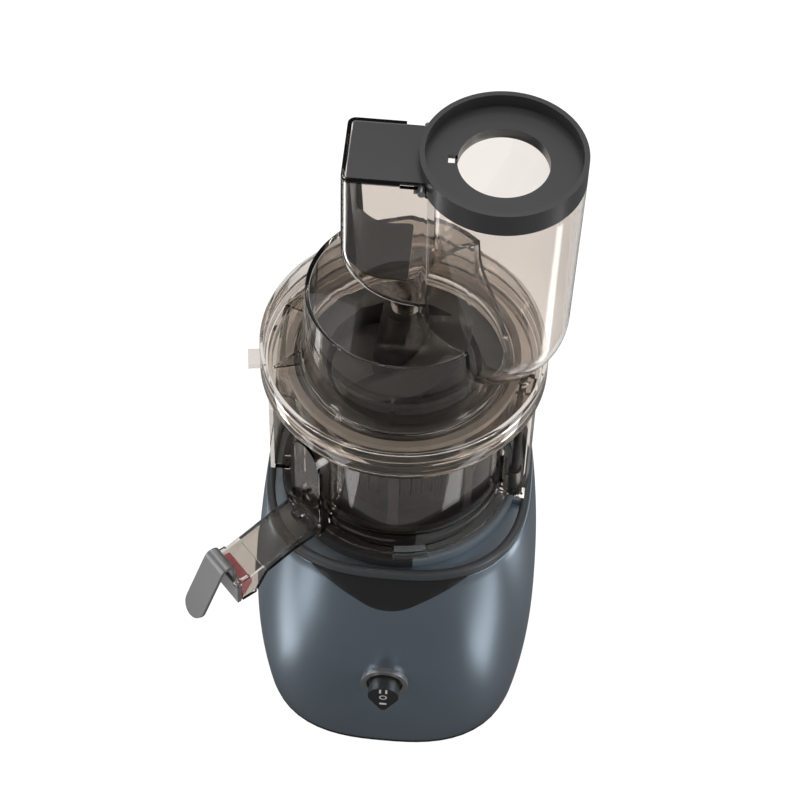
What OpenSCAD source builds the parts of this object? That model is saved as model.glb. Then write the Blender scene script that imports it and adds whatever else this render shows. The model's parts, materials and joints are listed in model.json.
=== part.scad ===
// Vertical cold press juicer with a motor base, a clear bowl, a drum lid with a
// wide hopper and a flip gate. Millimetres, +Z up, front along -Y, hopper along +X.
// The origin is on the drive axis at the surface that the feet stand on.

/* [Base] */
// Height of the base from the table to the top of its rim
base_h = 204; // [190:1:220]
// Half width of the base at its widest level
base_half_w = 92; // [88:0.5:98]
// Wall of the base shell
base_wall = 2.6; // [2:0.1:3.5]
// Width of the rim seen from above
rim_w = 5; // [4:0.5:7]
// Height of the rim trim
rim_h = 6; // [5:0.5:8]
// Depth of the deck under the top of the rim
deck_drop = 5; // [4:0.5:7]
// Thickness of the deck
deck_t = 4; // [3:0.5:5]
// Height of the lower point of the front panel
panel_tip_z = 168; // [160:1:176]

/* [Knob] */
// Height of the knob axis
knob_z = 91; // [80:1:100]
// Radius of the knob
knob_r = 10; // [8:0.5:12]
// Radius of the bezel round the knob
bezel_r = 15.5; // [14:0.5:18]
// How far the knob stands out of the base
knob_out = 12; // [9:0.5:16]

/* [Bowl] */
// Outer radius of the bowl wall
bowl_r = 66; // [63:0.5:68]
// Wall of the clear mouldings
clear_wall = 2.4; // [2:0.1:3]
// Height of the bowl from its foot to its flange
bowl_h = 109.5; // [104:0.5:116]
// Height of the bowl floor over its foot
bowl_floor_up = 14; // [12:0.5:18]
// Outer radius of the bowl flange
bowl_flange_r = 82.5; // [80:0.5:84]

/* [Lid] */
// Outer radius of the lid rim
lid_rim_r = 86.5; // [84.5:0.5:88]
// Outer radius of the drum at its top
drum_r = 59; // [56:0.5:62]
// Height of the drum over the lid flange
drum_h = 56; // [50:1:62]

/* [Hopper] */
// Distance from the drive axis to the hopper axis
hopper_x = 51; // [48:0.5:54]
// Inner radius of the hopper mouth
hopper_r = 44; // [42:0.5:45]
// Height of the hopper mouth over the lid flange
hopper_h = 162; // [150:1:172]
// Outer width of the gate pocket
pocket_w = 48; // [44:0.5:52]
// Outer depth of the gate pocket, from the hinge axis to its far wall
pocket_l = 44.5; // [42:0.5:48]
// Height of the gate pocket
pocket_h = 104; // [96:1:110]

/* [Gate] */
// Radius of the feed hole in the flip lid
feed_r = 25.5; // [22:0.5:28]
// Height of the flip lid ring
ring_h = 15; // [12:0.5:18]
// Reach of the gate floor under the hinge
gate_drop = 79; // [72:1:82]
// Thickness of the gate plate
gate_t = 2.4; // [2:0.1:3]

/* [Squeezing set] */
// Outer radius of the auger flights
auger_r = 44; // [42:0.5:46]
// Radius of the auger core at its foot
auger_core_r = 27; // [24:0.5:30]
// Inner radius of the strainer
strainer_r = 47; // [45:0.5:49]
// Wall of the strainer
strainer_wall = 2.2; // [1.8:0.1:2.6]
// Number of wiper blades on the brush holder
wipers = 4; // [3:1:6]

/* [Spout] */
// Direction of the spout, counted from +X
spout_turn = 222; // [216:1:228]
// Distance from the drive axis to the mouth of the spout
spout_reach = 132; // [128:1:138]
// Inner width of the spout channel
spout_w = 24; // [20:0.5:28]
// Length of the cap lever
lever_l = 42; // [34:1:46]

/* [Drive] */
// Module of the reduction gears
gear_m = 1.25; // [1.2:0.05:1.3]
// Teeth of the motor pinion
pinion_n = 12; // [12:1:14]
// Teeth of the large idler wheel
wheel_n = 44; // [42:1:46]
// Teeth of the small idler wheel
small_n = 14; // [14:1:16]
// Module of the brush gears
brush_m = 1.5; // [1.4:0.05:1.5]
// Teeth of the gear under the auger
auger_n = 24; // [22:2:26]
// Teeth of the idler under the strainer
idler_n = 16; // [16:2:18]

/* [Hidden] */

eps = 0.01;
over = 5;
play = 0.3;
fit = 0.06;
round_n = 96;
$fn = 64;

// Colours as the photograph shows them
shell_c = [0.31, 0.35, 0.39];
black_c = [0.09, 0.09, 0.10];
char_c = [0.27, 0.27, 0.28];
clear_c = [0.55, 0.50, 0.46, 0.35];
seal_c = [0.66, 0.30, 0.34];
steel_c = [0.70, 0.70, 0.72];
grey_c = [0.45, 0.46, 0.47];
copper_c = [0.72, 0.45, 0.25];
board_c = [0.10, 0.32, 0.20];
silicone_c = [0.75, 0.75, 0.73];

// Base levels and plan
feet_h = 4;
foot_r = 3;
foot_up = 2;
plate_t = 4;
shell_z0 = feet_h + plate_t - foot_up;
rim_z0 = base_h - rim_h;
plan_power = 2.7;
plan_n = 72;
ring_count = 10;
wide_share = 0.42;
foot_share = 0.93;
top_share = 0.908;
wide_z = base_h * wide_share;
deck_z = base_h - deck_drop;
deck_hw = base_half_w * top_share - rim_w;
seat_r = bowl_r + 7;
seat_h = 4;
seat_z = deck_z + seat_h;
seat_in_r = 30;
hub_hole_r = 16;

// Front panel
panel_angle = 37;
panel_tip_r = 24;
panel_gap = 0.25;

// Bowl levels
foot_z = seat_z + play;
floor_z = foot_z + bowl_floor_up;
floor_t = 3;
flange_z = foot_z + bowl_h;
flange_t = 3;
flange_lip = 9;
bowl_in_r = bowl_r - clear_wall;
foot_lip_r = bowl_r + 4.5;
foot_lip_t = 3;
foot_inset = 2;
drive_hole_r = 9;
hub_r = 12.5;
hub_up = 5;

// Lid levels
lid_z = flange_z + 5.2;
lid_t = 4;
lid_top = lid_z + lid_t;
rim_up = 9;
lid_skirt = 11;
rim_t = 2.6;
drum_foot_r = drum_r + 3.5;
drum_top = lid_top + drum_h;
boss_r = 9;
boss_h = 12;
pin_r = 5;

// Hopper levels
hopper_top = lid_top + hopper_h;
hopper_low_r = hopper_r - 1.4;
ball_gap = 1;
ball_z = lid_top + hopper_low_r + clear_wall + ball_gap;
ball_n = 12;
pocket_top = hopper_top + 9;
pocket_z0 = pocket_top - pocket_h;
pocket_round = 46;
hinge_x = hopper_x - hopper_r + 1;
hinge_z = hopper_top + 5;
pocket_x0 = hinge_x - pocket_l;
hinge_r = 2.2;
hinge_notch = 1.4;
pin_l = 4.2;

// Flip lid and gate
ring_r = hopper_r + clear_wall;
ring_z0 = hopper_top + play;
ring_top = ring_z0 + ring_h;
ring_t = 3;
tray_drop = 8;
tray_z = ring_top - tray_drop;
cover_t = 3;
gate_play = 0.6;
gate_w = pocket_w - 2 * clear_wall - 2 * gate_play;
gate_x0 = pocket_x0 + clear_wall + gate_play;
gate_back = hinge_x - gate_x0;
gate_round = 24;
gate_low = hinge_z - gate_drop;
gate_end = 6;
notch_w = 6;
notch_l = 5;

// Squeezing set levels
gear_z = floor_z + floor_t + 1;
gear_t = 5;
set_z = gear_z + gear_t + 1.2;
strainer_top = flange_z - 6.5;
strainer_out_r = strainer_r + strainer_wall;
ledge_r = bowl_in_r + 1.2;
slot_w = 1.1;
slot_h = 34;
slot_count = 48;
slot_z = set_z + 14;
shaft_r = 6.5;
hex_r = 7.4;
boss_gap = 2;
auger_top_z = drum_top - clear_wall - boss_h - boss_gap;
brush_out_r = bowl_in_r - 1.2;
brush_in_r = strainer_out_r + 0.8;
auger_gear_r = brush_m * auger_n / 2;
idler_r = brush_m * idler_n / 2;
brush_n = auger_n + 2 * idler_n;
idler_turn = 60;
idler_x = auger_gear_r + idler_r;
idler_pin_r = 2.5;

// Spout
spout_t = 1.8;
spout_start = bowl_r + 8;
spout_top0 = floor_z - 0.3;
spout_top1 = spout_top0 - 15;
neck_z0 = foot_z + foot_lip_t;
neck_top = flange_z - 30;
spout_under0 = neck_z0 + 0.3;
spout_under1 = base_h + 0.7;
spout_under2 = spout_under1 - 6;
nozzle_l = 10;
nozzle_slope = 9;
nozzle_h = 18;
nozzle_z = spout_top1 - nozzle_h;
cap_t = 2.5;
cap_gap = 1.3;
cap_r = spout_reach + 2.5;
cap_z = spout_top1 + 2;
cap_pin_r = 1.4;
barrel_r = 2.6;
ear_t = 2;
ear_r = 3;
strap_rise = 15;
strap_bend = 5.5;
strap_w = 18;
strap_t = 2.4;
strap_angle = 153;

// Interlock column and pulp duct
column_turn = -8;
column_w = 15;
column_d = 16;
column_r = bowl_r - 0.5 + column_d / 2;
column_foot = 9;
column_z0 = base_h + 0.6;
rod_r = 2.6;
rod_travel = 2.5;
column_wall = 1.8;
column_floor = 4;
rod_stop_z = column_z0 + column_floor + 16;
duct_x0 = -bowl_flange_r + 1;
duct_w = 18;
duct_y0 = -11;
duct_y1 = 72;
duct_top = floor_z + 58;
port_w = 24;
port_r = 8;
port_place = 30;
port_wall = 1.6;
plug_l = 16;
plug_w = 12;

// Drive levels
motor_z = 14;
motor_h = 88;
motor_r = 40;
motor_wall = 2;
case_z = motor_z + motor_h;
case_h = 56;
case_r = 33;
case_wall = 2.6;
gear_gap = 1.2;
wheel_t = 10;
small_t = 16;
out_n = pinion_n + wheel_n - small_n;
wheel_dist = gear_m * (pinion_n + wheel_n) / 2;
rotor_shaft_r = 4;
rotor_r = 26;
stator_in_r = rotor_r + 1;
wheel_z = case_z + case_wall + 3;
out_z = wheel_z + wheel_t + 3;
out_t = 12;
hex_z = base_h + 4;
hex_top = gear_z + 30;
bearing_w = 5;

// Half width of the base plan at height z
function half_w(z) = z < wide_z
    ? base_half_w * (1 - (1 - foot_share) * pow((wide_z - z) / wide_z, 2))
    : base_half_w * (1 - (1 - top_share) * pow((z - wide_z) / (base_h - wide_z), 1.8));

// Unit radius of the rounded square plan at angle a
function plan_k(a) = pow(pow(abs(cos(a)), plan_power) + pow(abs(sin(a)), plan_power), -1 / plan_power);
function plan_pts(hw) = [for (i = [0:plan_n - 1])
    let (a = 360 * i / plan_n) hw * plan_k(a) * [cos(a), sin(a)]];

// Solid of the base plan between two heights, in by a wall
module base_form(z0, z1, inset = 0) {
    rings = [for (j = [0:ring_count]) z0 + (z1 - z0) * j / ring_count];
    pts = [for (z = rings) for (p = plan_pts(half_w(z) - inset)) [p[0], p[1], z]];
    sides = [for (j = [0:ring_count - 1]) for (i = [0:plan_n - 1])
        let (k = (i + 1) % plan_n)
        [j * plan_n + i, (j + 1) * plan_n + i, (j + 1) * plan_n + k, j * plan_n + k]];
    floor_face = [[for (i = [0:plan_n - 1]) i]];
    roof_face = [[for (i = [plan_n - 1:-1:0]) ring_count * plan_n + i]];
    polyhedron(pts, concat(sides, floor_face, roof_face), convexity = 4);
}

module plan_plate(hw, z0, t) {
    translate([0, 0, z0]) linear_extrude(t) polygon(plan_pts(hw));
}

module ring(r_out, r_in, z0, t) {
    translate([0, 0, z0]) difference() {
        cylinder(r = r_out, h = t, $fn = round_n);
        translate([0, 0, -over]) cylinder(r = r_in, h = t + 2 * over, $fn = round_n);
    }
}

module disc(r, z0, t) {
    translate([0, 0, z0]) cylinder(r = r, h = t, $fn = round_n);
}

module at_hopper() {
    translate([hopper_x, 0, 0]) children();
}

// Outline of the front panel, grown by g, as a prism along Y
module panel_prism(g) {
    tip_z = panel_tip_z - g;
    r = panel_tip_r;
    arc_n = 8;
    tangent = [r * sin(panel_angle), tip_z + r * (1 - cos(panel_angle))];
    rise = rim_z0 + over - tangent[1];
    edge_x = tangent[0] + rise / tan(panel_angle) + g;
    arc = [for (i = [0:arc_n]) let (a = -panel_angle + 2 * panel_angle * i / arc_n)
        [r * sin(a), tip_z + r * (1 - cos(a))]];
    rotate([90, 0, 0]) linear_extrude(2 * base_half_w)
        polygon(concat(arc, [[edge_x, rim_z0 + over], [-edge_x, rim_z0 + over]]));
}

module base_shell() {
    color(shell_c) difference() {
        base_form(shell_z0, rim_z0);
        base_form(shell_z0 - over, rim_z0 + over, base_wall);
        panel_prism(panel_gap);
        translate([0, 0, knob_z]) rotate([90, 0, 0]) cylinder(r = bezel_r, h = 2 * base_half_w);
        translate([0, 0, gland_z]) rotate([-90, 0, 0]) cylinder(r = gland_r, h = 2 * base_half_w);
    }
}

module front_panel() {
    color(black_c) intersection() {
        difference() {
            base_form(shell_z0, rim_z0);
            base_form(shell_z0 - over, rim_z0 + over, base_wall);
        }
        panel_prism(0);
    }
}

module rim_trim() {
    hw = base_half_w * top_share;
    color(black_c) difference() {
        plan_plate(hw, rim_z0, rim_h);
        plan_plate(hw - rim_w, rim_z0 - over, rim_h + 2 * over);
    }
}

module deck() {
    color(shell_c) difference() {
        plan_plate(deck_hw, deck_z - deck_t, deck_t);
        disc(hub_hole_r, deck_z - deck_t - over, deck_t + 2 * over);
        column_place() translate([0, 0, deck_z - deck_t - over]) cylinder(r = rod_r + 1, h = deck_t + 2 * over);
    }
}

// Ring that the bowl stands on, with its bayonet collar and the interlock socket
module bowl_seat() {
    collar_t = 2;
    collar_h = 3;
    socket_wall = 4;
    socket = column_foot + 2 * play;
    color(shell_c) {
        difference() {
            union() {
                disc(seat_r + collar_t, deck_z, seat_h);
                ring(seat_r + collar_t, seat_r, deck_z, seat_h + collar_h);
                intersection() {
                    column_place() translate([-socket / 2 - socket_wall, -socket / 2 - socket_wall, deck_z])
                        cube([socket + 1.4 * socket_wall, socket + 2 * socket_wall, seat_h]);
                    plan_plate(deck_hw - fit, deck_z - over, seat_h + 2 * over);
                }
            }
            disc(seat_in_r, deck_z - over, seat_h + 2 * over);
            lug_cut();
            column_place() translate([-socket / 2, -socket / 2, deck_z - over])
                cube([socket, socket, seat_h + collar_h + 2 * over]);
            column_place() translate([-column_d / 2 - play, -column_w / 2 - play, seat_z])
                cube([column_d + 2 * play, column_w + 2 * play, collar_h + over]);
            translate([-2 * seat_r, duct_y0 - 2, seat_z]) cube([2 * seat_r - bowl_r / 2, duct_y1 - duct_y0, over + collar_h]);
            rotate(spout_turn) translate([seat_r / 2, -spout_w / 2 - clear_wall - 1, seat_z])
                cube([seat_r, spout_w + 2 * clear_wall + 2, collar_h + over]);
        }
    }
}

module bottom_plate() {
    vent_count = 7;
    vent_w = 3;
    vent_l = 44;
    vent_step = 9;
    color(black_c) difference() {
        plan_plate(half_w(shell_z0) - 0.8, feet_h - foot_up, plate_t);
        for (i = [0:vent_count - 1])
            translate([(i - (vent_count - 1) / 2) * vent_step - vent_w / 2, -vent_l / 2, feet_h - foot_up - over])
                cube([vent_w, vent_l, plate_t + 2 * over]);
        for (a = [45:90:315]) rotate(a) translate([foot_place, 0, -over])
            cylinder(r = foot_r + fit, h = feet_h + over);
    }
}

foot_in = 3;
foot_w = 12;
foot_place = (half_w(shell_z0) - foot_in - foot_w / 2) * plan_k(45);
gland_z = 26;
gland_r = 7;

module feet() {
    color(black_c) {
        difference() {
            plan_plate(half_w(shell_z0) - foot_in, 0, feet_h - foot_up);
            plan_plate(half_w(shell_z0) - foot_in - foot_w, -over, feet_h);
        }
        for (a = [45:90:315]) rotate(a) translate([foot_place, 0, foot_up / 2])
            cylinder(r = foot_r, h = feet_h - foot_up / 2);
    }
}

module motor_can() {
    color(steel_c) {
        difference() {
            disc(motor_r, motor_z, motor_h - eps);
            disc(motor_r - motor_wall, motor_z + motor_wall, motor_h - 2 * motor_wall);
            disc(rotor_shaft_r + bearing_w + fit, motor_z - over, motor_h + 2 * over);
        }
        difference() {
            union() {
                ring(motor_r + 6, motor_r - 4, shell_z0, motor_z - shell_z0);
            }
            for (a = [0:90:270]) rotate(a + 45) translate([motor_r, 0, 0])
                cylinder(r = 14, h = motor_z - 1.5);
        }
    }
}

module stator() {
    tooth_count = 6;
    core_z = motor_z + 24;
    core_h = 42;
    color(copper_c) difference() {
        disc(motor_r - motor_wall, core_z, core_h);
        disc(stator_in_r, core_z - over, core_h + 2 * over);
        for (i = [0:tooth_count - 1]) rotate(i * 360 / tooth_count)
            translate([stator_in_r - 1, -2, core_z - over]) cube([6, 4, core_h + 2 * over]);
    }
}

// Involute gear outline with n teeth of module m, thinned by a backlash share
function inv(a) = tan(a) * 180 / PI - a;
function flank(n, m, rho, thin) =
    let (r = n * m / 2, rb = r * cos(20), q = max(rho, rb))
    90 / n * (1 - thin) + inv(20) - inv(acos(min(1, rb / q)));
function gear_pts(n, m, thin = 0.08, add = 0.95, ded = 1.25) =
    let (r = n * m / 2, rr = [r - ded * m, r - 0.5 * m, r, r + 0.5 * m, r + add * m])
    [for (i = [0:n - 1]) each concat(
        [for (k = [0:4]) let (a = i * 360 / n - flank(n, m, rr[k], thin)) rr[k] * [cos(a), sin(a)]],
        [for (k = [4:-1:0]) let (a = i * 360 / n + flank(n, m, rr[k], thin)) rr[k] * [cos(a), sin(a)]])];

module gear(n, m, z0, t) {
    translate([0, 0, z0]) linear_extrude(t) polygon(gear_pts(n, m));
}

module rotor() {
    core_z = motor_z + 26;
    color(grey_c) {
        disc(rotor_r, core_z, 38);
        disc(rotor_shaft_r, motor_z - 6, wheel_z + wheel_t - motor_z + 6);
        translate([0, 0, wheel_z - 1]) linear_extrude(wheel_t) rotate(180 / pinion_n)
            polygon(gear_pts(pinion_n, gear_m));
        difference() {
            disc(rotor_r + 4, motor_z + 8, 3);
            for (i = [0:7]) rotate(i * 45) translate([rotor_shaft_r + 4, -1, motor_z]) cube([20, 6, 20]);
        }
    }
}

module motor_bearings() {
    color(steel_c) for (z = [motor_z - 3, motor_z + motor_h - bearing_w])
        ring(rotor_shaft_r + bearing_w, rotor_shaft_r + fit, z, bearing_w);
}

module case_plan(grow, z0, t) {
    disc(case_r + grow, z0, t);
    translate([0, wheel_dist, 0]) disc(case_r + grow, z0, t);
    translate([-case_r - grow, 0, z0]) cube([2 * (case_r + grow), wheel_dist, t]);
}

module gearbox_case() {
    color(grey_c) {
        difference() {
            case_plan(case_wall, case_z, case_h);
            case_plan(0, case_z + case_wall, case_h);
            disc(rotor_shaft_r + bearing_w, case_z - over, case_wall + 2 * over);
        }
        translate([0, wheel_dist, 0]) disc(wheel_pin_r, case_z, case_h - eps);
    }
}

wheel_pin_r = 4;
out_bush_r = 11;
out_neck = 26;

module gearbox_cover() {
    color(grey_c) difference() {
        union() {
            case_plan(case_wall, case_z + case_h, case_wall);
            disc(out_bush_r + 3, case_z + case_h, out_neck);
        }
        disc(out_shaft_r + fit, case_z, case_h + out_neck + over);
    }
}

out_shaft_r = 8;

module reduction_wheel() {
    color(grey_c) translate([0, wheel_dist, 0]) difference() {
        union() {
            rotate(-90) gear(wheel_n, gear_m, wheel_z, wheel_t - 2);
            rotate(-90) translate([0, 0, wheel_z + wheel_t - 2 - eps]) linear_extrude(small_t + 2)
                polygon(gear_pts(small_n, gear_m));
        }
        disc(wheel_pin_r + fit, wheel_z - over, small_t + wheel_t + 3 * over);
    }
}

module output_shaft() {
    color(steel_c) {
        translate([0, 0, out_z]) linear_extrude(out_t) rotate(90 + 180 / out_n)
            polygon(gear_pts(out_n, gear_m));
        disc(out_shaft_r, out_z, hex_z - out_z);
        translate([0, 0, hex_z - eps]) cylinder(r = hex_r, h = hex_top - hex_z, $fn = 6);
    }
}

module shaft_seal() {
    color(silicone_c) ring(hub_hole_r, out_shaft_r + fit, deck_z - deck_t, deck_t + 1);
}

board_w = 46;
board_h = 60;

module control_board() {
    board_y = motor_r + 14;
    color(board_c) translate([-board_w / 2, board_y, shell_z0]) cube([board_w, 1.6, board_h]);
    color(black_c) translate([-board_w / 4, board_y + 1.6, shell_z0 + 12]) cube([14, 12, 20]);
    color(steel_c) translate([6, board_y + 1.6, shell_z0 + 30]) cube([10, 9, 14]);
}

// Place on the knob axis, with local +Z pointing out of the front
knob_y = half_w(knob_z);
module at_knob() {
    translate([0, -knob_y, knob_z]) rotate([90, 0, 0]) children();
}

bezel_t = 3;
knob_shaft_r = 3;
knob_gap = 0.5;

module knob_bezel() {
    color(grey_c) at_knob() difference() {
        union() {
            translate([0, 0, -base_wall - 2]) cylinder(r = bezel_r - fit, h = base_wall + 2 + bezel_t);
        }
        translate([0, 0, 0]) cylinder(r = knob_r + 1.6, h = bezel_t + over);
        translate([0, 0, -base_wall - 2 - over]) cylinder(r = knob_shaft_r + 1, h = 4 * over);
    }
}

module switch_body() {
    sw = 22;
    color(black_c) at_knob() difference() {
        translate([-sw / 2, -sw / 2, -base_wall - 2 - 20]) cube([sw, sw, 20]);
        translate([0, 0, -base_wall - 2 - 14]) cylinder(r = knob_shaft_r + fit, h = 30);
    }
}

module knob() {
    tip_r = 2.4;
    tip_d = knob_r + 4.5;
    color(black_c) at_knob() {
        translate([0, 0, knob_gap]) cylinder(r = knob_r, h = knob_out - knob_gap - 2);
        translate([0, 0, knob_out - 2 - eps]) difference() {
            hull() {
                cylinder(r = knob_r, h = 2 + eps, $fn = 32);
                translate([0, -tip_d, 0]) cylinder(r = tip_r, h = 2 + eps, $fn = 32);
            }
        }
        translate([0, 0, -base_wall - 14]) cylinder(r = knob_shaft_r, h = base_wall + 14 + knob_gap + eps);
    }
}

module column_place() {
    rotate(column_turn) translate([column_r, 0, 0]) children();
}

module interlock_switch() {
    sw_l = 12;
    sw_w = 10;
    sw_h = 14;
    color(black_c) column_place() difference() {
        translate([-sw_l / 2, -sw_w / 2, deck_z - deck_t - sw_h]) cube([sw_l, sw_w, sw_h]);
        translate([0, 0, deck_z - deck_t - 6]) cylinder(r = rod_r + fit, h = 10);
    }
}

module cord_gland() {
    color(black_c) translate([0, half_w(gland_z), gland_z]) rotate([-90, 0, 0]) difference() {
        union() {
            translate([0, 0, -base_wall - 3]) cylinder(r = gland_r - fit, h = base_wall + 5);
            translate([0, 0, 1]) cylinder(r1 = gland_r + 2, r2 = gland_r, h = 5);
        }
        translate([0, 0, -base_wall - 3 - over]) cylinder(r = 3.6, h = base_wall + 9 + 2 * over);
    }
}

// Three lugs round the bowl foot
lug_w = 20;
lug_h = 8;
lug_turns = [-80, 40, 160];
module lug_cut() {
    for (a = lug_turns) rotate(a) translate([bowl_in_r - 1, -lug_w / 2 - 1, deck_z - over])
        cube([seat_r - bowl_in_r + 1.4, lug_w + 2, 4 * over]);
}

module bowl_lugs() {
    for (a = lug_turns) rotate(a) intersection() {
        translate([bowl_in_r, -lug_w / 2, deck_z + play]) cube([10, lug_w, lug_h]);
        rotate(-a) ring(seat_r - 0.6, bowl_r - 1.5, deck_z + play, lug_h);
    }
}

// Arched outline of the juice neck, w wide, between two heights, drawn along the spout
module neck_form(w, z0, z1, r0, r1) {
    rotate(spout_turn) translate([r0, 0, 0]) rotate([90, 0, 90]) linear_extrude(r1 - r0) {
        translate([-w / 2, z0]) square([w, z1 - w / 2 - z0]);
        translate([0, z1 - w / 2]) circle(d = w);
    }
}

module neck_box(w, z0, z1, r0, r1) {
    rotate(spout_turn) translate([r0, -w / 2, z0]) cube([r1 - r0, w, z1 - z0]);
}

// Side outlines of the spout, out from the drive axis and up
rim_reach = base_half_w * top_share * plan_k(spout_turn) + 1;
spout_outer = [[spout_start, spout_top0], [spout_reach, spout_top1], [spout_reach, nozzle_z],
    [spout_reach - nozzle_l, nozzle_z], [spout_reach - nozzle_l - nozzle_slope, spout_under2],
    [rim_reach, spout_under1], [spout_start, spout_under0]];
spout_inner = [[spout_start - over, spout_top0 - spout_t], [spout_reach + over, spout_top1 - spout_t],
    [spout_reach + over, nozzle_z + spout_t], [spout_reach - nozzle_l + spout_t / 2, nozzle_z + spout_t],
    [spout_reach - nozzle_l - nozzle_slope + spout_t / 2, spout_under2 + spout_t],
    [rim_reach, spout_under1 + spout_t], [spout_start - over, spout_under0 + spout_t]];

module along_spout(points, w) {
    rotate(spout_turn) translate([0, w / 2, 0]) rotate([90, 0, 0]) linear_extrude(w) polygon(points);
}

module bowl() {
    neck_w = spout_w + 2 * clear_wall;
    color(clear_c) difference() {
        union() {
            // wall and floor
            difference() {
                union() {
                    disc(bowl_r, foot_z + foot_lip_t, bowl_h - foot_lip_t);
                    disc(bowl_r - foot_inset, foot_z, foot_lip_t + eps);
                }
                disc(bowl_in_r, floor_z + floor_t, bowl_h);
                disc(ledge_r, strainer_top, bowl_h);
                disc(bowl_in_r - foot_inset, foot_z - over, bowl_floor_up + over);
            }
            // hub round the drive shaft
            ring(hub_r, drive_hole_r, foot_z + 1, floor_z + floor_t - foot_z - 1);
            // foot lip and lugs
            ring(foot_lip_r, bowl_r - 1, foot_z + foot_lip_t, foot_lip_t);
            bowl_lugs();
            // top flange with its lip
            ring(bowl_flange_r, bowl_r - 0.5, flange_z - flange_t, flange_t);
            ring(bowl_flange_r, bowl_flange_r - clear_wall, flange_z - flange_lip, flange_lip - flange_t + eps);
            column_solid();
            // juice neck
            difference() {
                neck_form(neck_w, neck_z0, neck_top, bowl_r / 2, spout_start);
                disc(bowl_r - 1, foot_z - over, bowl_h);
            }
            // pulp duct and the tunnel that feeds it
            difference() {
                duct_solid(clear_wall, 0);
                disc(bowl_r - 1, foot_z, bowl_h);
            }
            pulp_tunnel(clear_wall, 0);
            translate([-port_place, 0, floor_z]) cylinder(r = port_r + port_wall, h = set_z - play - floor_z);
        }
        disc(drive_hole_r, foot_z - over, bowl_floor_up + 4 * over);
        rotate(idler_turn) translate([idler_x, 0, floor_z + floor_t - 2]) cylinder(r = idler_pin_r, h = over);
        column_bore();
        neck_form(spout_w, floor_z + floor_t, neck_top - clear_wall, bowl_r / 2 + over, spout_start - clear_wall);
        neck_box(spout_w, neck_z0 + clear_wall, floor_z + floor_t + over, bowl_r, spout_start - clear_wall);
        neck_box(spout_w, neck_z0 + clear_wall, spout_top0 - spout_t, bowl_r, spout_start + over);
        duct_solid(0, over);
        pulp_tunnel(0, over);
        translate([-port_place, 0, floor_z - over]) cylinder(r = port_r, h = 4 * over);
        translate([-port_place - port_r - plug_l / 2 - over, -plug_w / 2 - fit, foot_z])
            cube([plug_l + 2 * fit, plug_w + 2 * fit, over + clear_wall]);
    }
}

module column_solid() {
    column_place() {
        translate([-column_d / 2, -column_w / 2, column_z0]) cube([column_d, column_w, flange_z - flange_t - column_z0 + eps]);
        translate([-column_foot / 2, -column_foot / 2, deck_z + play])
            cube([column_foot, column_foot, column_z0 - deck_z - play + eps]);
        translate([0, 0, flange_z - flange_t]) cylinder(r = rod_r + 2, h = flange_t + 2);
    }
}

module column_bore() {
    column_place() {
        translate([-column_d / 2 + column_wall, -column_w / 2 + column_wall, column_z0 + column_floor])
            cube([column_d - 2 * column_wall, column_w - 2 * column_wall,
                flange_z - flange_t - column_floor - column_z0 - column_floor]);
        translate([0, 0, deck_z - over]) cylinder(r = rod_r + fit, h = bowl_h + 4 * over);
    }
}

module duct_solid(grow, extra) {
    inner_w = duct_w - 2 * clear_wall;
    translate([duct_x0 + clear_wall - grow, duct_y0 + clear_wall - grow, foot_z + 4 - grow])
        cube([inner_w + 2 * grow, duct_y1 - duct_y0 - clear_wall + grow + extra, duct_top - foot_z - 4 - clear_wall + 2 * grow]);
}

module pulp_tunnel(grow, extra) {
    inner_w = port_w - 2 * clear_wall;
    z0 = foot_z + 2 * clear_wall;
    translate([duct_x0 + duct_w / 2, -inner_w / 2 - grow, z0 - grow])
        cube([-duct_x0 - duct_w / 2 - port_place + port_r + grow, inner_w + 2 * grow, floor_z - z0 + (grow > 0 ? eps : 0)]);
}

module spout() {
    full_w = spout_w + 2 * spout_t;
    clip = 6;
    color(clear_c) difference() {
        union() {
            along_spout(spout_outer, full_w);
            neck_box(full_w + 2 * spout_t, spout_under0, spout_top0 + 2 * spout_t, spout_start, spout_start + 1.5 * spout_t);
            neck_box(clip, spout_top0 - spout_t, spout_top0 + spout_t, spout_start, spout_start + 1.5 * clip);
            // ears for the pin of the cap
            for (s = [-1, 1]) rotate(spout_turn) translate([0, s * (full_w - ear_t) / 2, 0]) {
                translate([cap_r, ear_t / 2, cap_z]) rotate([90, 0, 0]) cylinder(r = ear_r, h = ear_t);
                translate([spout_reach - 2 * ear_r, -ear_t / 2, spout_top1 - 1])
                    cube([2 * ear_r + 1, ear_t, cap_z - spout_top1 + 1 + ear_r / 2]);
            }
        }
        along_spout(spout_inner, spout_w);
        rotate(spout_turn) translate([cap_r, full_w, cap_z]) rotate([90, 0, 0]) cylinder(r = cap_pin_r + fit, h = 2 * full_w);
    }
}

module bowl_seal() {
    color(silicone_c) ring(drive_hole_r, out_shaft_r + fit, foot_z + 2, 6);
}

module pulp_plug() {
    flange = 2;
    color(silicone_c) translate([-port_place - port_r - plug_l / 2 - over, -plug_w / 2, foot_z + 1]) {
        translate([fit, fit, 0]) cube([plug_l, plug_w - 2 * fit, 2 * clear_wall - 1]);
        translate([-flange, -flange, 0]) cube([plug_l + 2 * flange, plug_w + 2 * flange, clear_wall - 1.1]);
    }
}

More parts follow.
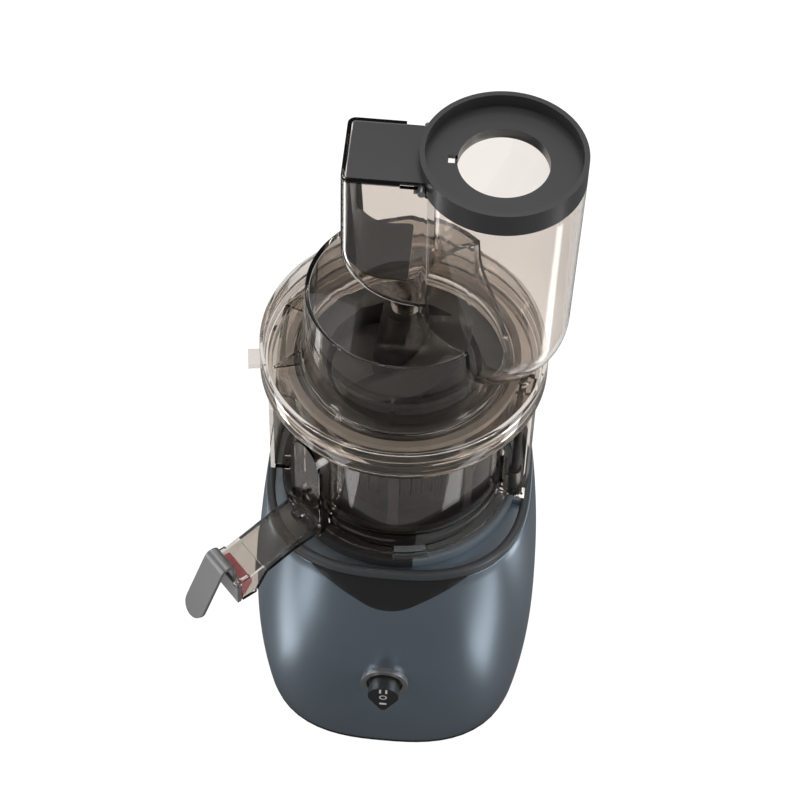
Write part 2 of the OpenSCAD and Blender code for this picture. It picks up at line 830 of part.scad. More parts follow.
module strainer() {
    low_z = set_z;
    rim_t2 = 4;
    floor2 = 2.4;
    in_r = shaft_r + 14;
    profile = [[in_r, low_z], [strainer_out_r, low_z], [strainer_out_r, strainer_top],
        [ledge_r - play, strainer_top], [ledge_r - play, strainer_top + rim_t2],
        [strainer_r, strainer_top + rim_t2], [strainer_r, low_z + floor2], [in_r, low_z + floor2]];
    rib_count = 12;
    rib_w = 2;
    rib_out = 0.7;
    color(grey_c) difference() {
        union() {
            rotate_extrude($fn = round_n) polygon(profile);
            for (i = [0:rib_count - 1]) rotate(i * 360 / rib_count)
                translate([strainer_r + strainer_wall / 2, -rib_w / 2, low_z + 2 * floor2])
                    cube([strainer_wall / 2 + rib_out, rib_w, strainer_top - low_z - 2 * floor2 + rim_t2 / 2]);
        }
        for (i = [0:slot_count - 1]) rotate((i + 0.5) * 360 / slot_count)
            translate([strainer_r - over, -slot_w / 2, slot_z]) cube([2 * over, slot_w, slot_h]);
        translate([-port_place, 0, low_z - over]) cylinder(r = port_r, h = 2 * over);
    }
}

module idler_gear() {
    color(silicone_c) rotate(idler_turn) translate([idler_x, 0, 0]) {
        translate([0, 0, gear_z]) linear_extrude(gear_t) rotate(180 + 180 / idler_n)
            polygon(gear_pts(idler_n, brush_m));
        translate([0, 0, floor_z + floor_t - 2 + play]) cylinder(r = idler_pin_r - fit, h = gear_z - floor_z - floor_t + 2);
    }
}

module brush_holder() {
    ring_out = brush_out_r;
    hoop_t = 2.2;
    hoop_h = 6;
    post_w = 6;
    side_gap = 0.3;
    top_z = strainer_top - hoop_h - 2;
    color(char_c) {
        difference() {
            disc(ring_out, gear_z, gear_t);
            translate([0, 0, gear_z - over]) linear_extrude(gear_t + 2 * over) rotate(idler_turn + 180 / brush_n)
                polygon(gear_pts(brush_n, brush_m, -0.08, 1.15, 1.0));
        }
        ring(ring_out, ring_out - hoop_t, top_z, hoop_h);
        for (i = [0:2 * wipers - 1]) rotate(i * 180 / wipers)
            translate([ring_out - hoop_t + side_gap, -post_w / 2, gear_z + gear_t / 2])
                cube([hoop_t - 2 * side_gap - post_w / 30, post_w, top_z + hoop_h / 2 - gear_z - gear_t / 2]);
    }
}

module wiper_blades() {
    blade_t = 1.6;
    color(seal_c) for (i = [0:wipers - 1]) rotate(i * 360 / wipers) {
        translate([brush_in_r + 0.4, -blade_t / 2, gear_z + gear_t + 5])
            cube([brush_out_r - brush_in_r - 2.7, blade_t, strainer_top - gear_z - gear_t - 14]);
    }
}

// Auger core, flights, foot gear and top pin
core_top_r = 13;
flight_top = strainer_top + 2;
flight_t = 5;
flight_turns = 1.6;
wing_z = flight_top - 8;

module auger_core() {
    translate([0, 0, set_z + 6]) cylinder(r1 = auger_core_r, r2 = core_top_r, h = auger_top_z - set_z - 6);
}

module flight(h, turn, r, start) {
    rotate(start) linear_extrude(h, twist = -turn, slices = 40, $fn = 24)
        translate([0, -flight_t / 2]) square([r, flight_t]);
}

module auger() {
    color(black_c) difference() {
        union() {
            auger_core();
            disc(auger_r - 2, set_z + 3, 4);
            disc(hub_r + 3, gear_z, set_z + 4 - gear_z);
            translate([0, 0, gear_z]) linear_extrude(gear_t) rotate(idler_turn)
                polygon(gear_pts(auger_n, brush_m));
            translate([0, 0, set_z + 5]) for (s = [0, 180])
                flight(flight_top - set_z - 5, 360 * flight_turns, auger_r, s);
            translate([0, 0, flight_top - eps]) for (s = [0])
                flight(auger_top_z - flight_top - 10, 150, auger_r - 4, s + 360 * flight_turns % 360);
            disc(pin_r, auger_top_z - 1, boss_h - 3);
        }
        translate([0, 0, gear_z - over]) cylinder(r = hub_r + 1, h = over + 4);
        disc(hex_r + 3, gear_z - over, over + hex_top - gear_z + 8);
    }
}

module auger_bush() {
    color(steel_c) difference() {
        disc(hex_r + 3, gear_z + 5, hex_top - gear_z + 3);
        translate([0, 0, gear_z - over]) cylinder(r = hex_r + 0.08, h = over + hex_top - gear_z + 1, $fn = 6);
    }
}

module drum_out() {
    translate([0, 0, lid_z]) cylinder(r1 = drum_foot_r, r2 = drum_r, h = drum_top - lid_z, $fn = round_n);
}

module drum_in() {
    translate([0, 0, lid_z - over]) cylinder(r1 = drum_foot_r - clear_wall, r2 = drum_r - clear_wall,
        h = drum_top - lid_z + over - clear_wall, $fn = round_n);
}

// Round bottomed tube on the hopper axis, r0 at its low end and r1 at height z1
module round_tube(r0, r1, z1) {
    arc = [for (i = [0:ball_n]) let (a = -90 + 90 * i / ball_n) [r0 * cos(a), ball_z + r0 * sin(a)]];
    at_hopper() rotate_extrude($fn = round_n) polygon(concat(arc, [[r1, z1], [0, z1]]));
}

module hopper_out(grow) {
    round_tube(hopper_low_r + clear_wall + grow, hopper_r + clear_wall + grow, hopper_top);
}

module hopper_in() {
    round_tube(hopper_low_r, hopper_r, hopper_top + eps);
    at_hopper() disc(hopper_r, hopper_top, over);
}

module pocket_form(inset, z1) {
    x0 = pocket_x0 + inset;
    x1 = hopper_x - hopper_r * 0.75;
    z0 = pocket_z0 + inset;
    r = pocket_round - inset;
    w = pocket_w - 2 * inset;
    arc = [for (i = [0:ball_n]) let (a = 180 + 90 * i / ball_n) [x0 + r + r * cos(a), z0 + r + r * sin(a)]];
    translate([0, w / 2, 0]) rotate([90, 0, 0]) linear_extrude(w) polygon(concat([[x1, z1], [x0, z1]], arc, [[x1, z0]]));
}

module lid() {
    boss_z = drum_top - clear_wall - boss_h;
    color(clear_c) difference() {
        union() {
            difference() {
                union() {
                    drum_out();
                    ring(lid_rim_r, drum_foot_r - clear_wall, lid_z, lid_t);
                    ring(lid_rim_r, lid_rim_r - rim_t, lid_top - lid_skirt, lid_skirt + rim_up);
                    ring(bowl_in_r - play, bowl_in_r - play - clear_wall, flange_z - 2, lid_z - flange_z + 2 + eps);
                    lid_tabs();
                    lid_ribs();
                }
                drum_in();
                hopper_out(fit);
            }
            // boss that holds the upper pin of the auger
            disc(boss_r, boss_z, boss_h + eps);
        }
        disc(pin_r + fit, boss_z - over, boss_h + over - 1);
    }
}

// Grip tab on the left and the tab that presses the interlock rod
module lid_tabs() {
    tab_w = 12;
    rotate(tab_turn) translate([lid_rim_r - 1, -tab_w / 2, lid_z - 3]) cube([lid_t + 4, tab_w, lid_t]);
    column_place() translate([-rod_r - 2, -rod_r - 2, lid_z - 1]) cube([2 * rod_r + 4, 2 * rod_r + 4, lid_t]);
}

// Upright rib on the front of the drum and gussets between drum and flange
module lid_ribs() {
    rib_w = 2;
    for (g = gussets) rotate(g[0]) translate([0, rib_w / 2, 0]) rotate([90, 0, 0]) linear_extrude(rib_w)
        polygon([[drum_r - clear_wall, lid_top - 1], [drum_foot_r + g[1] * drum_r, lid_top - 1],
            [drum_r - clear_wall / 2, lid_top + g[2] * drum_h]]);
}
gussets = [[268, 0.03, 0.95], [160, 0.3, 0.55], [196, 0.3, 0.3], [100, 0.3, 0.55]];
tab_turn = 188;

module hopper() {
    color(clear_c) difference() {
        union() {
            hopper_out(0);
            pocket_form(0, pocket_top);
        }
        hopper_in();
        pocket_form(clear_wall, pocket_top + over);
        drum_in();
        // room for the flip lid over the mouth and for its swing
        at_hopper() disc(ring_r + 2 * play, hopper_top, over + pocket_top - hopper_top);
        translate([hinge_x - 4 * ring_t, -pocket_w, hinge_z + hinge_notch]) cube([8 * ring_t, 2 * pocket_w, pocket_top]);
        translate([hinge_x - hinge_r - fit, -pocket_w, hinge_z]) cube([8 * ring_t, 2 * pocket_w, pocket_top]);
        translate([hinge_x, pocket_w, hinge_z]) rotate([90, 0, 0]) cylinder(r = hinge_r + fit, h = 2 * pocket_w);
    }
}

module lid_seal() {
    notch = rod_r + 2 + play;
    color(silicone_c) difference() {
        ring(bowl_r + 5, bowl_r + 0.5, flange_z + play, lid_z - flange_z - 2 * play);
        column_place() translate([-notch, -notch, flange_z]) cube([2 * notch, 2 * notch, lid_z - flange_z]);
    }
}

// Side outline of the gate: down from the cover, round the corner and along its floor
gate_arc_n = 12;
gate_pts = concat(
    [[gate_x0, pocket_top - cover_t + eps]],
    [for (i = [0:gate_arc_n]) let (a = 180 + 90 * i / gate_arc_n)
        [gate_x0 + gate_round + gate_round * cos(a), gate_low + gate_round + gate_round * sin(a)]],
    [[hinge_x - gate_end, gate_low], [hinge_x - gate_end, gate_low + gate_t]],
    [for (i = [gate_arc_n:-1:0]) let (a = 180 + 90 * i / gate_arc_n, r = gate_round - gate_t)
        [gate_x0 + gate_round + r * cos(a), gate_low + gate_round + r * sin(a)]],
    [[gate_x0 + gate_t, pocket_top - cover_t + eps]]);

module flip_lid() {
    block_w = 8;
    block_l = 9;
    block_z0 = hinge_z - 4;
    color(char_c) difference() {
        union() {
            // ring with its tray
            at_hopper() difference() {
                disc(ring_r, ring_z0, ring_h);
                disc(ring_r - ring_t, tray_z, tray_drop + over);
                disc(ring_r - ring_t, ring_z0 - over, tray_z - ring_t - ring_z0 + over);
            }
            // cover over the pocket
            difference() {
                translate([gate_x0, -gate_w / 2, pocket_top - cover_t])
                    cube([hopper_x - ring_r + 2 * ring_t - gate_x0, gate_w, cover_t]);
                at_hopper() disc(ring_r - ring_t / 2, ring_z0 - over, ring_h + 2 * over);
            }
            // hinge blocks
            for (s = [-1, 1]) translate([hinge_x - block_l / 2, s * (gate_w - block_w) / 2 - block_w / 2, block_z0])
                cube([block_l, block_w, pocket_top - cover_t + 1 - block_z0]);
            // gate
            translate([0, gate_w / 2, 0]) rotate([90, 0, 0]) linear_extrude(gate_w) polygon(gate_pts);
        }
        at_hopper() disc(feed_r, ring_z0 - over, ring_h + 2 * over);
        translate([hopper_x - feed_r - notch_l, -notch_w / 2, tray_z - ring_t - over])
            cube([notch_l + 2, notch_w, ring_t + 2 * over]);
        translate([hinge_x, pocket_w, hinge_z]) rotate([90, 0, 0]) cylinder(r = hinge_r + fit / 3, h = 2 * pocket_w);
    }
}

module gate_pins() {
    color(steel_c) for (s = [-1, 1]) translate([hinge_x, s * (gate_w / 2 - pin_l), hinge_z]) rotate([-90 * s, 0, 0])
        cylinder(r = hinge_r, h = (pocket_w - gate_w) / 2 + pin_l + 2);
}

module push_rod() {
    rod_z0 = deck_z - deck_t - 3;
    color(black_c) column_place() {
        translate([0, 0, rod_z0]) cylinder(r = rod_r, h = lid_z - 1 - play - rod_z0);
        translate([0, 0, rod_stop_z]) cylinder(r = rod_r + 1.4, h = 2);
    }
}

module rod_spring() {
    color(steel_c) column_place() difference() {
        translate([0, 0, column_z0 + column_floor + play])
            cylinder(r = rod_r + 1.2, h = rod_stop_z - column_z0 - column_floor - 2 * play);
        translate([0, 0, deck_z]) cylinder(r = rod_r + 0.4, h = 2 * column_d + over);
    }
}

// Place on the pin of the cap, x out along the spout and z up
module at_cap() {
    rotate(spout_turn) translate([cap_r, 0, cap_z]) children();
}

// Outline of the lever strap with its round end, and its side outline with the bend over the pin
lever_arc_n = 16;
strap_arc_n = 12;
lever_pts = concat([[-strap_w / 2, -3 * strap_w], [strap_w / 2, -3 * strap_w]],
    [for (i = [0:lever_arc_n]) let (a = 180 * i / lever_arc_n, r = strap_w / 2)
        [r * cos(a), lever_l - r + r * sin(a)]]);
bend_x = strap_bend - strap_t / 2;
bend_z = strap_rise - strap_bend;
bend_end = 180 - strap_angle;
strap_dir = [sin(strap_angle), cos(strap_angle)];
function bend_arc(r, a0, a1) = [for (i = [0:strap_arc_n]) let (a = a0 + (a1 - a0) * i / strap_arc_n)
    [bend_x + r * cos(a), bend_z + r * sin(a)]];
function bend_tip(r) = [bend_x + r * cos(bend_end), bend_z + r * sin(bend_end)] + (lever_l + 1) * strap_dir;
strap_pts = concat([[bend_x - strap_bend, cap_pin_r + 3 * fit]], bend_arc(strap_bend, 180, bend_end),
    [bend_tip(strap_bend), bend_tip(strap_bend - strap_t)], bend_arc(strap_bend - strap_t, bend_end, 180),
    [[bend_x - strap_bend + strap_t, cap_pin_r + 3 * fit]]);

module spout_cap() {
    full_w = spout_w + 2 * spout_t;
    inner_w = full_w - 2 * ear_t - 2 * play;
    plate_x = cap_gap - cap_r + spout_reach;
    plate_top = -ear_r - 2 * play;
    arm_top = -cap_pin_r - play;
    color(grey_c) at_cap() difference() {
        union() {
            translate([plate_x, -full_w / 2, nozzle_z + play - cap_z]) cube([cap_t, full_w, plate_top - nozzle_z - play + cap_z]);
            translate([plate_x, -inner_w / 2, plate_top - 1]) cube([cap_t, inner_w, arm_top - plate_top + 1]);
            translate([0, inner_w / 2, 0]) rotate([90, 0, 0]) cylinder(r = barrel_r, h = inner_w);
            intersection() {
                translate([0, strap_w, 0]) rotate([90, 0, 0]) linear_extrude(2 * strap_w) polygon(strap_pts);
                translate([bend_x, 0, bend_z]) rotate([0, strap_angle, 0]) translate([-2 * strap_w, 0, 0])
                    rotate([90, 0, 90]) linear_extrude(4 * strap_w) polygon(lever_pts);
            }
        }
        translate([0, full_w, 0]) rotate([90, 0, 0]) cylinder(r = cap_pin_r + fit / 3, h = 2 * full_w);
    }
}

// Seal on the cap with its plug, deeper at the top so that it can swing out
module cap_seal() {
    rim = 0.4;
    lip = 2.5;
    plug = 8;
    plug_z0 = nozzle_z + spout_t + 3 * rim;
    plug_z1 = spout_top1 - spout_t - rim;
    plug_w = spout_w - 2 * rim;
    color(seal_c) rotate(spout_turn) {
        translate([spout_reach + play, -spout_w / 2 - spout_t + rim, nozzle_z + 2 * play])
            cube([cap_gap - play, spout_w + 2 * spout_t - 2 * rim, cap_z - ear_r - 4 * play - nozzle_z]);
        translate([0, plug_w / 2, 0]) rotate([90, 0, 0]) linear_extrude(plug_w)
            polygon([[spout_reach + play + eps, plug_z0], [spout_reach + play + eps, plug_z1], [spout_reach - plug, plug_z1],
                [spout_reach - plug, plug_z1 - 4], [spout_reach - lip, plug_z0]]);
    }
}

module cap_pin() {
    full_w = spout_w + 2 * spout_t;
    color(steel_c) at_cap() translate([0, full_w / 2, 0]) rotate([90, 0, 0]) cylinder(r = cap_pin_r, h = full_w);
}

base_shell();
rim_trim();
front_panel();
deck();
bowl_seat();
bottom_plate();
feet();
motor_can();
stator();
rotor();
motor_bearings();
gearbox_case();
gearbox_cover();
reduction_wheel();
output_shaft();
shaft_seal();
control_board();
knob_bezel();
switch_body();
knob();
interlock_switch();
cord_gland();
bowl();
spout();
bowl_seal();
pulp_plug();
strainer();
idler_gear();
brush_holder();
wiper_blades();
auger();
auger_bush();
spout_cap();
cap_seal();
cap_pin();
push_rod();
rod_spring();
lid();
hopper();
lid_seal();
flip_lid();
gate_pins();
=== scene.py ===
import json
import math

import bmesh
import bpy
from mathutils import Matrix, Vector


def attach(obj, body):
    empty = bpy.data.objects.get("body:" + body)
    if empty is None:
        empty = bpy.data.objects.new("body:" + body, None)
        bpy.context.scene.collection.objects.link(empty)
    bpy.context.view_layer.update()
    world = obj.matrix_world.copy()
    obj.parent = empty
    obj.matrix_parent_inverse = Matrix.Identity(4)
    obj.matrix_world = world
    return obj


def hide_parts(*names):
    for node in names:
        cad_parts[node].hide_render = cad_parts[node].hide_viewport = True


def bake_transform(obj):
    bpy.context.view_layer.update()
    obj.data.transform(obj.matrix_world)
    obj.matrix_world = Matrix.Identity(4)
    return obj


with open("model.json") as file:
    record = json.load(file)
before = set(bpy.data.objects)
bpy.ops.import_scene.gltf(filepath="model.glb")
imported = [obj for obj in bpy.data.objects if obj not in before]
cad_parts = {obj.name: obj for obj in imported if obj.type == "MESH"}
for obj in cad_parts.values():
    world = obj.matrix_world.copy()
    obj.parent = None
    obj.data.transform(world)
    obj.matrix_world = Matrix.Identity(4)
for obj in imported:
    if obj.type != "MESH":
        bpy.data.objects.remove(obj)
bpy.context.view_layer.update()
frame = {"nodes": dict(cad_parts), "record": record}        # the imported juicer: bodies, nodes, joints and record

nodes = frame["nodes"]
record = frame["record"]
mm = 0.001
upright, lying = (0, 0, 0), (math.pi / 2, 0, 0)      # a drum's axis along Z or along Y

slotOf = {entry["node"]: entry["material_slot"] for entry in record["subparts"]}
bodyOf = {}
for body, members in record["behaviour"]["bodies"].items():
    for member in members:
        bodyOf[member] = body

# Camera: the viewpoint of the photograph, fitted to the outline of the juicer
view = {
    "pitch": 52.65, "roll": 1.85, "turn": 3.5,
    "distance": 1.5465, "target": (-0.00157, 0.0, 0.27153),
    "lens": 113.26, "clipStart": 0.1, "clipEnd": 20,
}


def setCamera():
    pitch, roll = math.radians(view["pitch"]), math.radians(view["roll"])
    back = Vector((0, -math.cos(pitch), math.sin(pitch)))
    level = Vector((1, 0, 0))
    rise = Vector((0, math.sin(pitch), math.cos(pitch)))
    right = math.cos(roll) * level + math.sin(roll) * rise
    up = math.cos(roll) * rise - math.sin(roll) * level
    turn = Matrix.Rotation(math.radians(view["turn"]), 4, "Z")
    place = Matrix.Identity(4)
    for row in range(3):
        place[row][0], place[row][1], place[row][2] = right[row], up[row], back[row]
        place[row][3] = view["target"][row] + back[row] * view["distance"]
    data = bpy.data.cameras.new("viewCamera")
    data.lens = view["lens"]
    data.clip_start = view["clipStart"]
    data.clip_end = view["clipEnd"]
    camera = bpy.data.objects.new("viewCamera", data)
    bpy.context.scene.collection.objects.link(camera)
    camera.matrix_world = turn @ place
    bpy.context.scene.camera = camera
    bpy.context.scene.view_settings.view_transform = "Standard"


setCamera()
print("camera set")

# Small helpers for modelling. Widths are in millimetres, angles in degrees.
weld = {"doubles": 0.000005, "loftDoubles": 0.000002, "flatAngle": 0.4}
softEdge = {"segments": 2, "angle": 40, "smooth": 35}


def clearSelection():
    if bpy.context.object and bpy.context.object.mode != "OBJECT":
        bpy.ops.object.mode_set(mode="OBJECT")
    bpy.ops.object.select_all(action="DESELECT")


def makeActive(piece):
    clearSelection()
    piece.select_set(True)
    bpy.context.view_layer.objects.active = piece


def editAll(piece):
    makeActive(piece)
    bpy.ops.object.mode_set(mode="EDIT")
    bpy.ops.mesh.select_all(action="SELECT")


def editNone(piece, kind):
    makeActive(piece)
    bpy.ops.object.mode_set(mode="EDIT")
    bpy.ops.mesh.select_mode(type=kind)
    bpy.ops.mesh.select_all(action="DESELECT")


def leaveEdit():
    bpy.ops.object.mode_set(mode="OBJECT")


def pointOut():
    # normals outwards on the mesh in edit mode
    bpy.ops.mesh.select_all(action="SELECT")
    bpy.ops.mesh.normals_make_consistent(inside=False)


def named(name):
    # the object that an operator has just added
    piece = bpy.context.object
    piece.name = piece.data.name = name
    return piece


def turnOf(vert):
    return math.atan2(vert.co.y, vert.co.x) % (2 * math.pi)


def applyModifiers(piece):
    makeActive(piece)
    for modifier in list(piece.modifiers):
        bpy.ops.object.modifier_apply(modifier=modifier.name)


def placeInMesh(piece):
    # the object goes to the origin and its place into its mesh
    makeActive(piece)
    bpy.ops.object.transform_apply(location=True, rotation=True, scale=True)


def smoothByAngle(piece, degrees):
    makeActive(piece)
    bpy.ops.object.shade_smooth_by_angle(angle=math.radians(degrees))


def ownCopy(source, name):
    piece = source.copy()
    piece.data = source.data.copy()
    piece.name = piece.data.name = name
    bpy.context.scene.collection.objects.link(piece)
    return piece


def mergedCopy(node, name, degrees):
    # a welded and smoothed copy of a CAD node, which it stands for
    piece = ownCopy(nodes[node], name)
    piece.parent = None
    piece.matrix_world = Matrix.Identity(4)
    editAll(piece)
    bpy.ops.mesh.remove_doubles(threshold=weld["doubles"])
    leaveEdit()
    if piece.data.has_custom_normals:
        bpy.ops.mesh.customdata_custom_splitnormals_clear()
    smoothByAngle(piece, degrees)
    return piece


def joinFlatFaces(piece):
    editAll(piece)
    bpy.ops.mesh.dissolve_limited(angle_limit=math.radians(weld["flatAngle"]), delimit={"NORMAL"})
    leaveEdit()


def roundEdges(piece, width, segments, degrees):
    modifier = piece.modifiers.new("round", "BEVEL")
    modifier.width = width * mm
    modifier.segments = segments
    modifier.limit_method = "ANGLE"
    modifier.angle_limit = math.radians(degrees)
    applyModifiers(piece)


def roundedCopy(node, name, width):
    # a welded copy whose sharp edges get a small radius
    piece = mergedCopy(node, name, softEdge["smooth"])
    joinFlatFaces(piece)
    bevel = piece.modifiers.new("round", "BEVEL")
    bevel.width = width * mm
    bevel.segments = softEdge["segments"]
    bevel.limit_method = "ANGLE"
    bevel.angle_limit = math.radians(softEdge["angle"])
    bevel.miter_outer = "MITER_ARC"
    even = piece.modifiers.new("even", "WEIGHTED_NORMAL")
    even.keep_sharp = True
    applyModifiers(piece)
    return piece


def dress(piece, material):
    piece.data.materials.clear()
    piece.data.materials.append(material)


def standFor(piece, node, material):
    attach(piece, bodyOf[node])
    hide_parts(node)
    dress(piece, material)


# Materials. One group gives every finish its faint cloudiness and fine grain.
plainLook = {
    "cloud": 0.06, "cloudScale": 12, "roughSpread": 0.08, "grainScale": 900, "bump": 0.1,
    "bumpDepth": 0.0002, "metallic": 0, "coat": 0, "coatRough": 0.1, "specular": 0.5,
    "subsurface": 0, "subsurfaceScale": 0.004,
}
looks = {
    "shell": {"color": (0.29, 0.355, 0.42), "metallic": 0.9, "rough": 0.34, "coat": 0.08,
              "coatRough": 0.3, "bump": 0.03, "grainScale": 1600},
    "panel": {"color": (0.018, 0.017, 0.017), "rough": 0.38, "specular": 0.35, "bump": 0.01},
    "rim": {"color": (0.075, 0.08, 0.085), "metallic": 0.3, "rough": 0.42, "bump": 0.05},
    # painted shade: the gate inside the hopper's pocket is a darker copy of the charcoal flip lid
    "gate": {"color": (0.008, 0.008, 0.008), "rough": 0.35, "specular": 0.3},
    "knobSide": {"color": (0.12, 0.12, 0.12), "metallic": 0.85, "rough": 0.3},
    "black": {"color": (0.02, 0.02, 0.022), "rough": 0.5, "bump": 0.15},
    "charcoal": {"color": (0.036, 0.036, 0.038), "rough": 0.34, "bump": 0.05, "coat": 0.25,
                 "coatRough": 0.2},
    "screw": {"color": (0.009, 0.0085, 0.008), "rough": 0.32, "bump": 0.05},
    "sieve": {"color": (0.012, 0.011, 0.010), "rough": 0.35, "bump": 0.05},
    "brush": {"color": (0.02, 0.018, 0.017), "rough": 0.45, "bump": 0.08},
    "wiper": {"color": (0.42, 0.14, 0.15), "rough": 0.5, "subsurface": 0.2},
    "seal": {"color": (0.30, 0.29, 0.27), "rough": 0.5, "subsurface": 0.2},
    "red_seal": {"color": (0.42, 0.09, 0.12), "rough": 0.45, "subsurface": 0.2},
    "lever": {"color": (0.27, 0.27, 0.275), "metallic": 0.6, "rough": 0.33, "bump": 0.04,
              "coat": 0.2},
    "steel": {"color": (0.5, 0.5, 0.51), "metallic": 1, "rough": 0.28, "bump": 0.05},
    "gear": {"color": (0.55, 0.53, 0.47), "rough": 0.45, "bump": 0.05},
    "winding": {"color": (0.45, 0.2, 0.08), "metallic": 0.8, "rough": 0.4, "bump": 0.3,
                "grainScale": 500},
    "board": {"color": (0.02, 0.14, 0.06), "rough": 0.4, "coat": 0.3},
    "foot": {"color": (0.015, 0.015, 0.015), "rough": 0.75, "bump": 0.25},
    "mark": {"color": (0.75, 0.75, 0.75), "rough": 0.5, "cloud": 0.0},
}
# the seat changes from black to the shell's colour at an x in millimetres; the black side is partly the seat's
# black collar and partly painted shade and reflection of the bowl
seatLook = {
    "right": {"color": (0.30, 0.35, 0.40), "rough": 0.45}, "metallic": 0.5,
    "left": {"color": (0.03, 0.03, 0.03), "rough": 0.4}, "edge": 14.0, "soft": 0.3,
}
smokeCloud = {"scale": 6, "amount": 0.03, "roughSpread": 0.02, "bandSoft": 0.6}
clearLook = {"color": (0.64, 0.60, 0.56), "shadow": (0.74, 0.71, 0.68), "rough": 0.02, "ior": 1.36}
# the wide hopper is paler, with a painted dark band of shade round the mouth of its pocket
hopperLook = {
    "color": (0.80, 0.755, 0.715), "shadow": (0.82, 0.79, 0.76), "rough": 0.015, "ior": 1.38,
    "bandFrom": 491.2, "bandColor": (0.03, 0.03, 0.03),
}


def newGroup(name, inputs, outputs):
    group = bpy.data.node_groups.new(name, "ShaderNodeTree")
    for label, kind, value in inputs:
        socket = group.interface.new_socket(label, in_out="INPUT", socket_type=kind)
        socket.default_value = value
    for label, kind in outputs:
        group.interface.new_socket(label, in_out="OUTPUT", socket_type=kind)
    return group


def mathNode(tree, operation, *values):
    # a Math node whose inputs are sockets or plain numbers
    node = tree.nodes.new("ShaderNodeMath")
    node.operation = operation
    for number, value in enumerate(values):
        if isinstance(value, (int, float)):
            node.inputs[number].default_value = value
        else:
            tree.links.new(value, node.inputs[number])
    return node


def groupNode(tree, group, values):
    node = tree.nodes.new("ShaderNodeGroup")
    node.node_tree = group
    for label, value in values.items():
        node.inputs[label].default_value = value
    return node


def mixColors(tree, mask, first, second):
    # first and second are sockets, or second a plain colour
    mix = tree.nodes.new("ShaderNodeMix")
    mix.data_type = "RGBA"
    tree.links.new(mask, mix.inputs["Factor"])
    tree.links.new(first, mix.inputs["A"])
    if isinstance(second, tuple):
        mix.inputs["B"].default_value = second
    else:
        tree.links.new(second, mix.inputs["B"])
    return mix.outputs["Result"]


def placeAxis(tree, axis):
    coords = tree.nodes.new("ShaderNodeTexCoord")
    split = tree.nodes.new("ShaderNodeSeparateXYZ")
    tree.links.new(coords.outputs["Object"], split.inputs[0])
    return split.outputs[axis]


def makeFinishGroup():
    group = newGroup("finishVariation", [
        ("Color", "NodeSocketColor", (0.5, 0.5, 0.5, 1)),
        ("Cloud Scale", "NodeSocketFloat", 12.0),
        ("Cloud Amount", "NodeSocketFloat", 0.06),
        ("Grain Scale", "NodeSocketFloat", 900.0),
        ("Roughness", "NodeSocketFloat", 0.4),
        ("Roughness Spread", "NodeSocketFloat", 0.06),
    ], [
        ("Color", "NodeSocketColor"),
        ("Roughness", "NodeSocketFloat"),
        ("Height", "NodeSocketFloat"),
    ])
    links = group.links
    given = group.nodes.new("NodeGroupInput").outputs
    result = group.nodes.new("NodeGroupOutput").inputs
    coords = group.nodes.new("ShaderNodeTexCoord")
    noises = []
    for scale, detail in (("Cloud Scale", 3), ("Grain Scale", 2)):
        noise = group.nodes.new("ShaderNodeTexNoise")
        noise.inputs["Detail"].default_value = detail
        links.new(coords.outputs["Object"], noise.inputs["Vector"])
        links.new(given[scale], noise.inputs["Scale"])
        noises.append(noise.outputs["Fac"])
    cloud, grain = noises
    # colour times 1 plus or minus the cloud amount
    centred = mathNode(group, "SUBTRACT", cloud, 0.5).outputs[0]
    amount = mathNode(group, "MULTIPLY", centred, given["Cloud Amount"]).outputs[0]
    factor = mathNode(group, "MULTIPLY_ADD", amount, 2.0, 1.0).outputs[0]
    tint = group.nodes.new("ShaderNodeVectorMath")
    tint.operation = "SCALE"
    links.new(given["Color"], tint.inputs[0])
    links.new(factor, tint.inputs["Scale"])
    links.new(tint.outputs[0], result["Color"])
    spread = mathNode(group, "MULTIPLY", centred, given["Roughness Spread"]).outputs[0]
    rough = mathNode(group, "ADD", given["Roughness"], spread)
    rough.use_clamp = True
    links.new(rough.outputs[0], result["Roughness"])
    links.new(grain, result["Height"])
    return group


def makeShadeBandGroup():
    # 1 above a height, 0 below it, with a short ramp: the mask of the hopper's painted shade band
    group = newGroup("heightBand", [
        ("From", "NodeSocketFloat", 0.0), ("To", "NodeSocketFloat", 0.001),
    ], [("Mask", "NodeSocketFloat")])
    given = group.nodes.new("NodeGroupInput").outputs
    result = group.nodes.new("NodeGroupOutput").inputs
    ramp = group.nodes.new("ShaderNodeMapRange")
    group.links.new(placeAxis(group, "Z"), ramp.inputs["Value"])
    group.links.new(given["From"], ramp.inputs["From Min"])
    group.links.new(given["To"], ramp.inputs["From Max"])
    group.links.new(ramp.outputs["Result"], result["Mask"])
    return group


finishGroup = makeFinishGroup()
shadeBandGroup = makeShadeBandGroup()


def newMaterial(name):
    material = bpy.data.materials.new(name)
    material.use_nodes = True
    return material, material.node_tree, material.node_tree.nodes["Principled BSDF"]


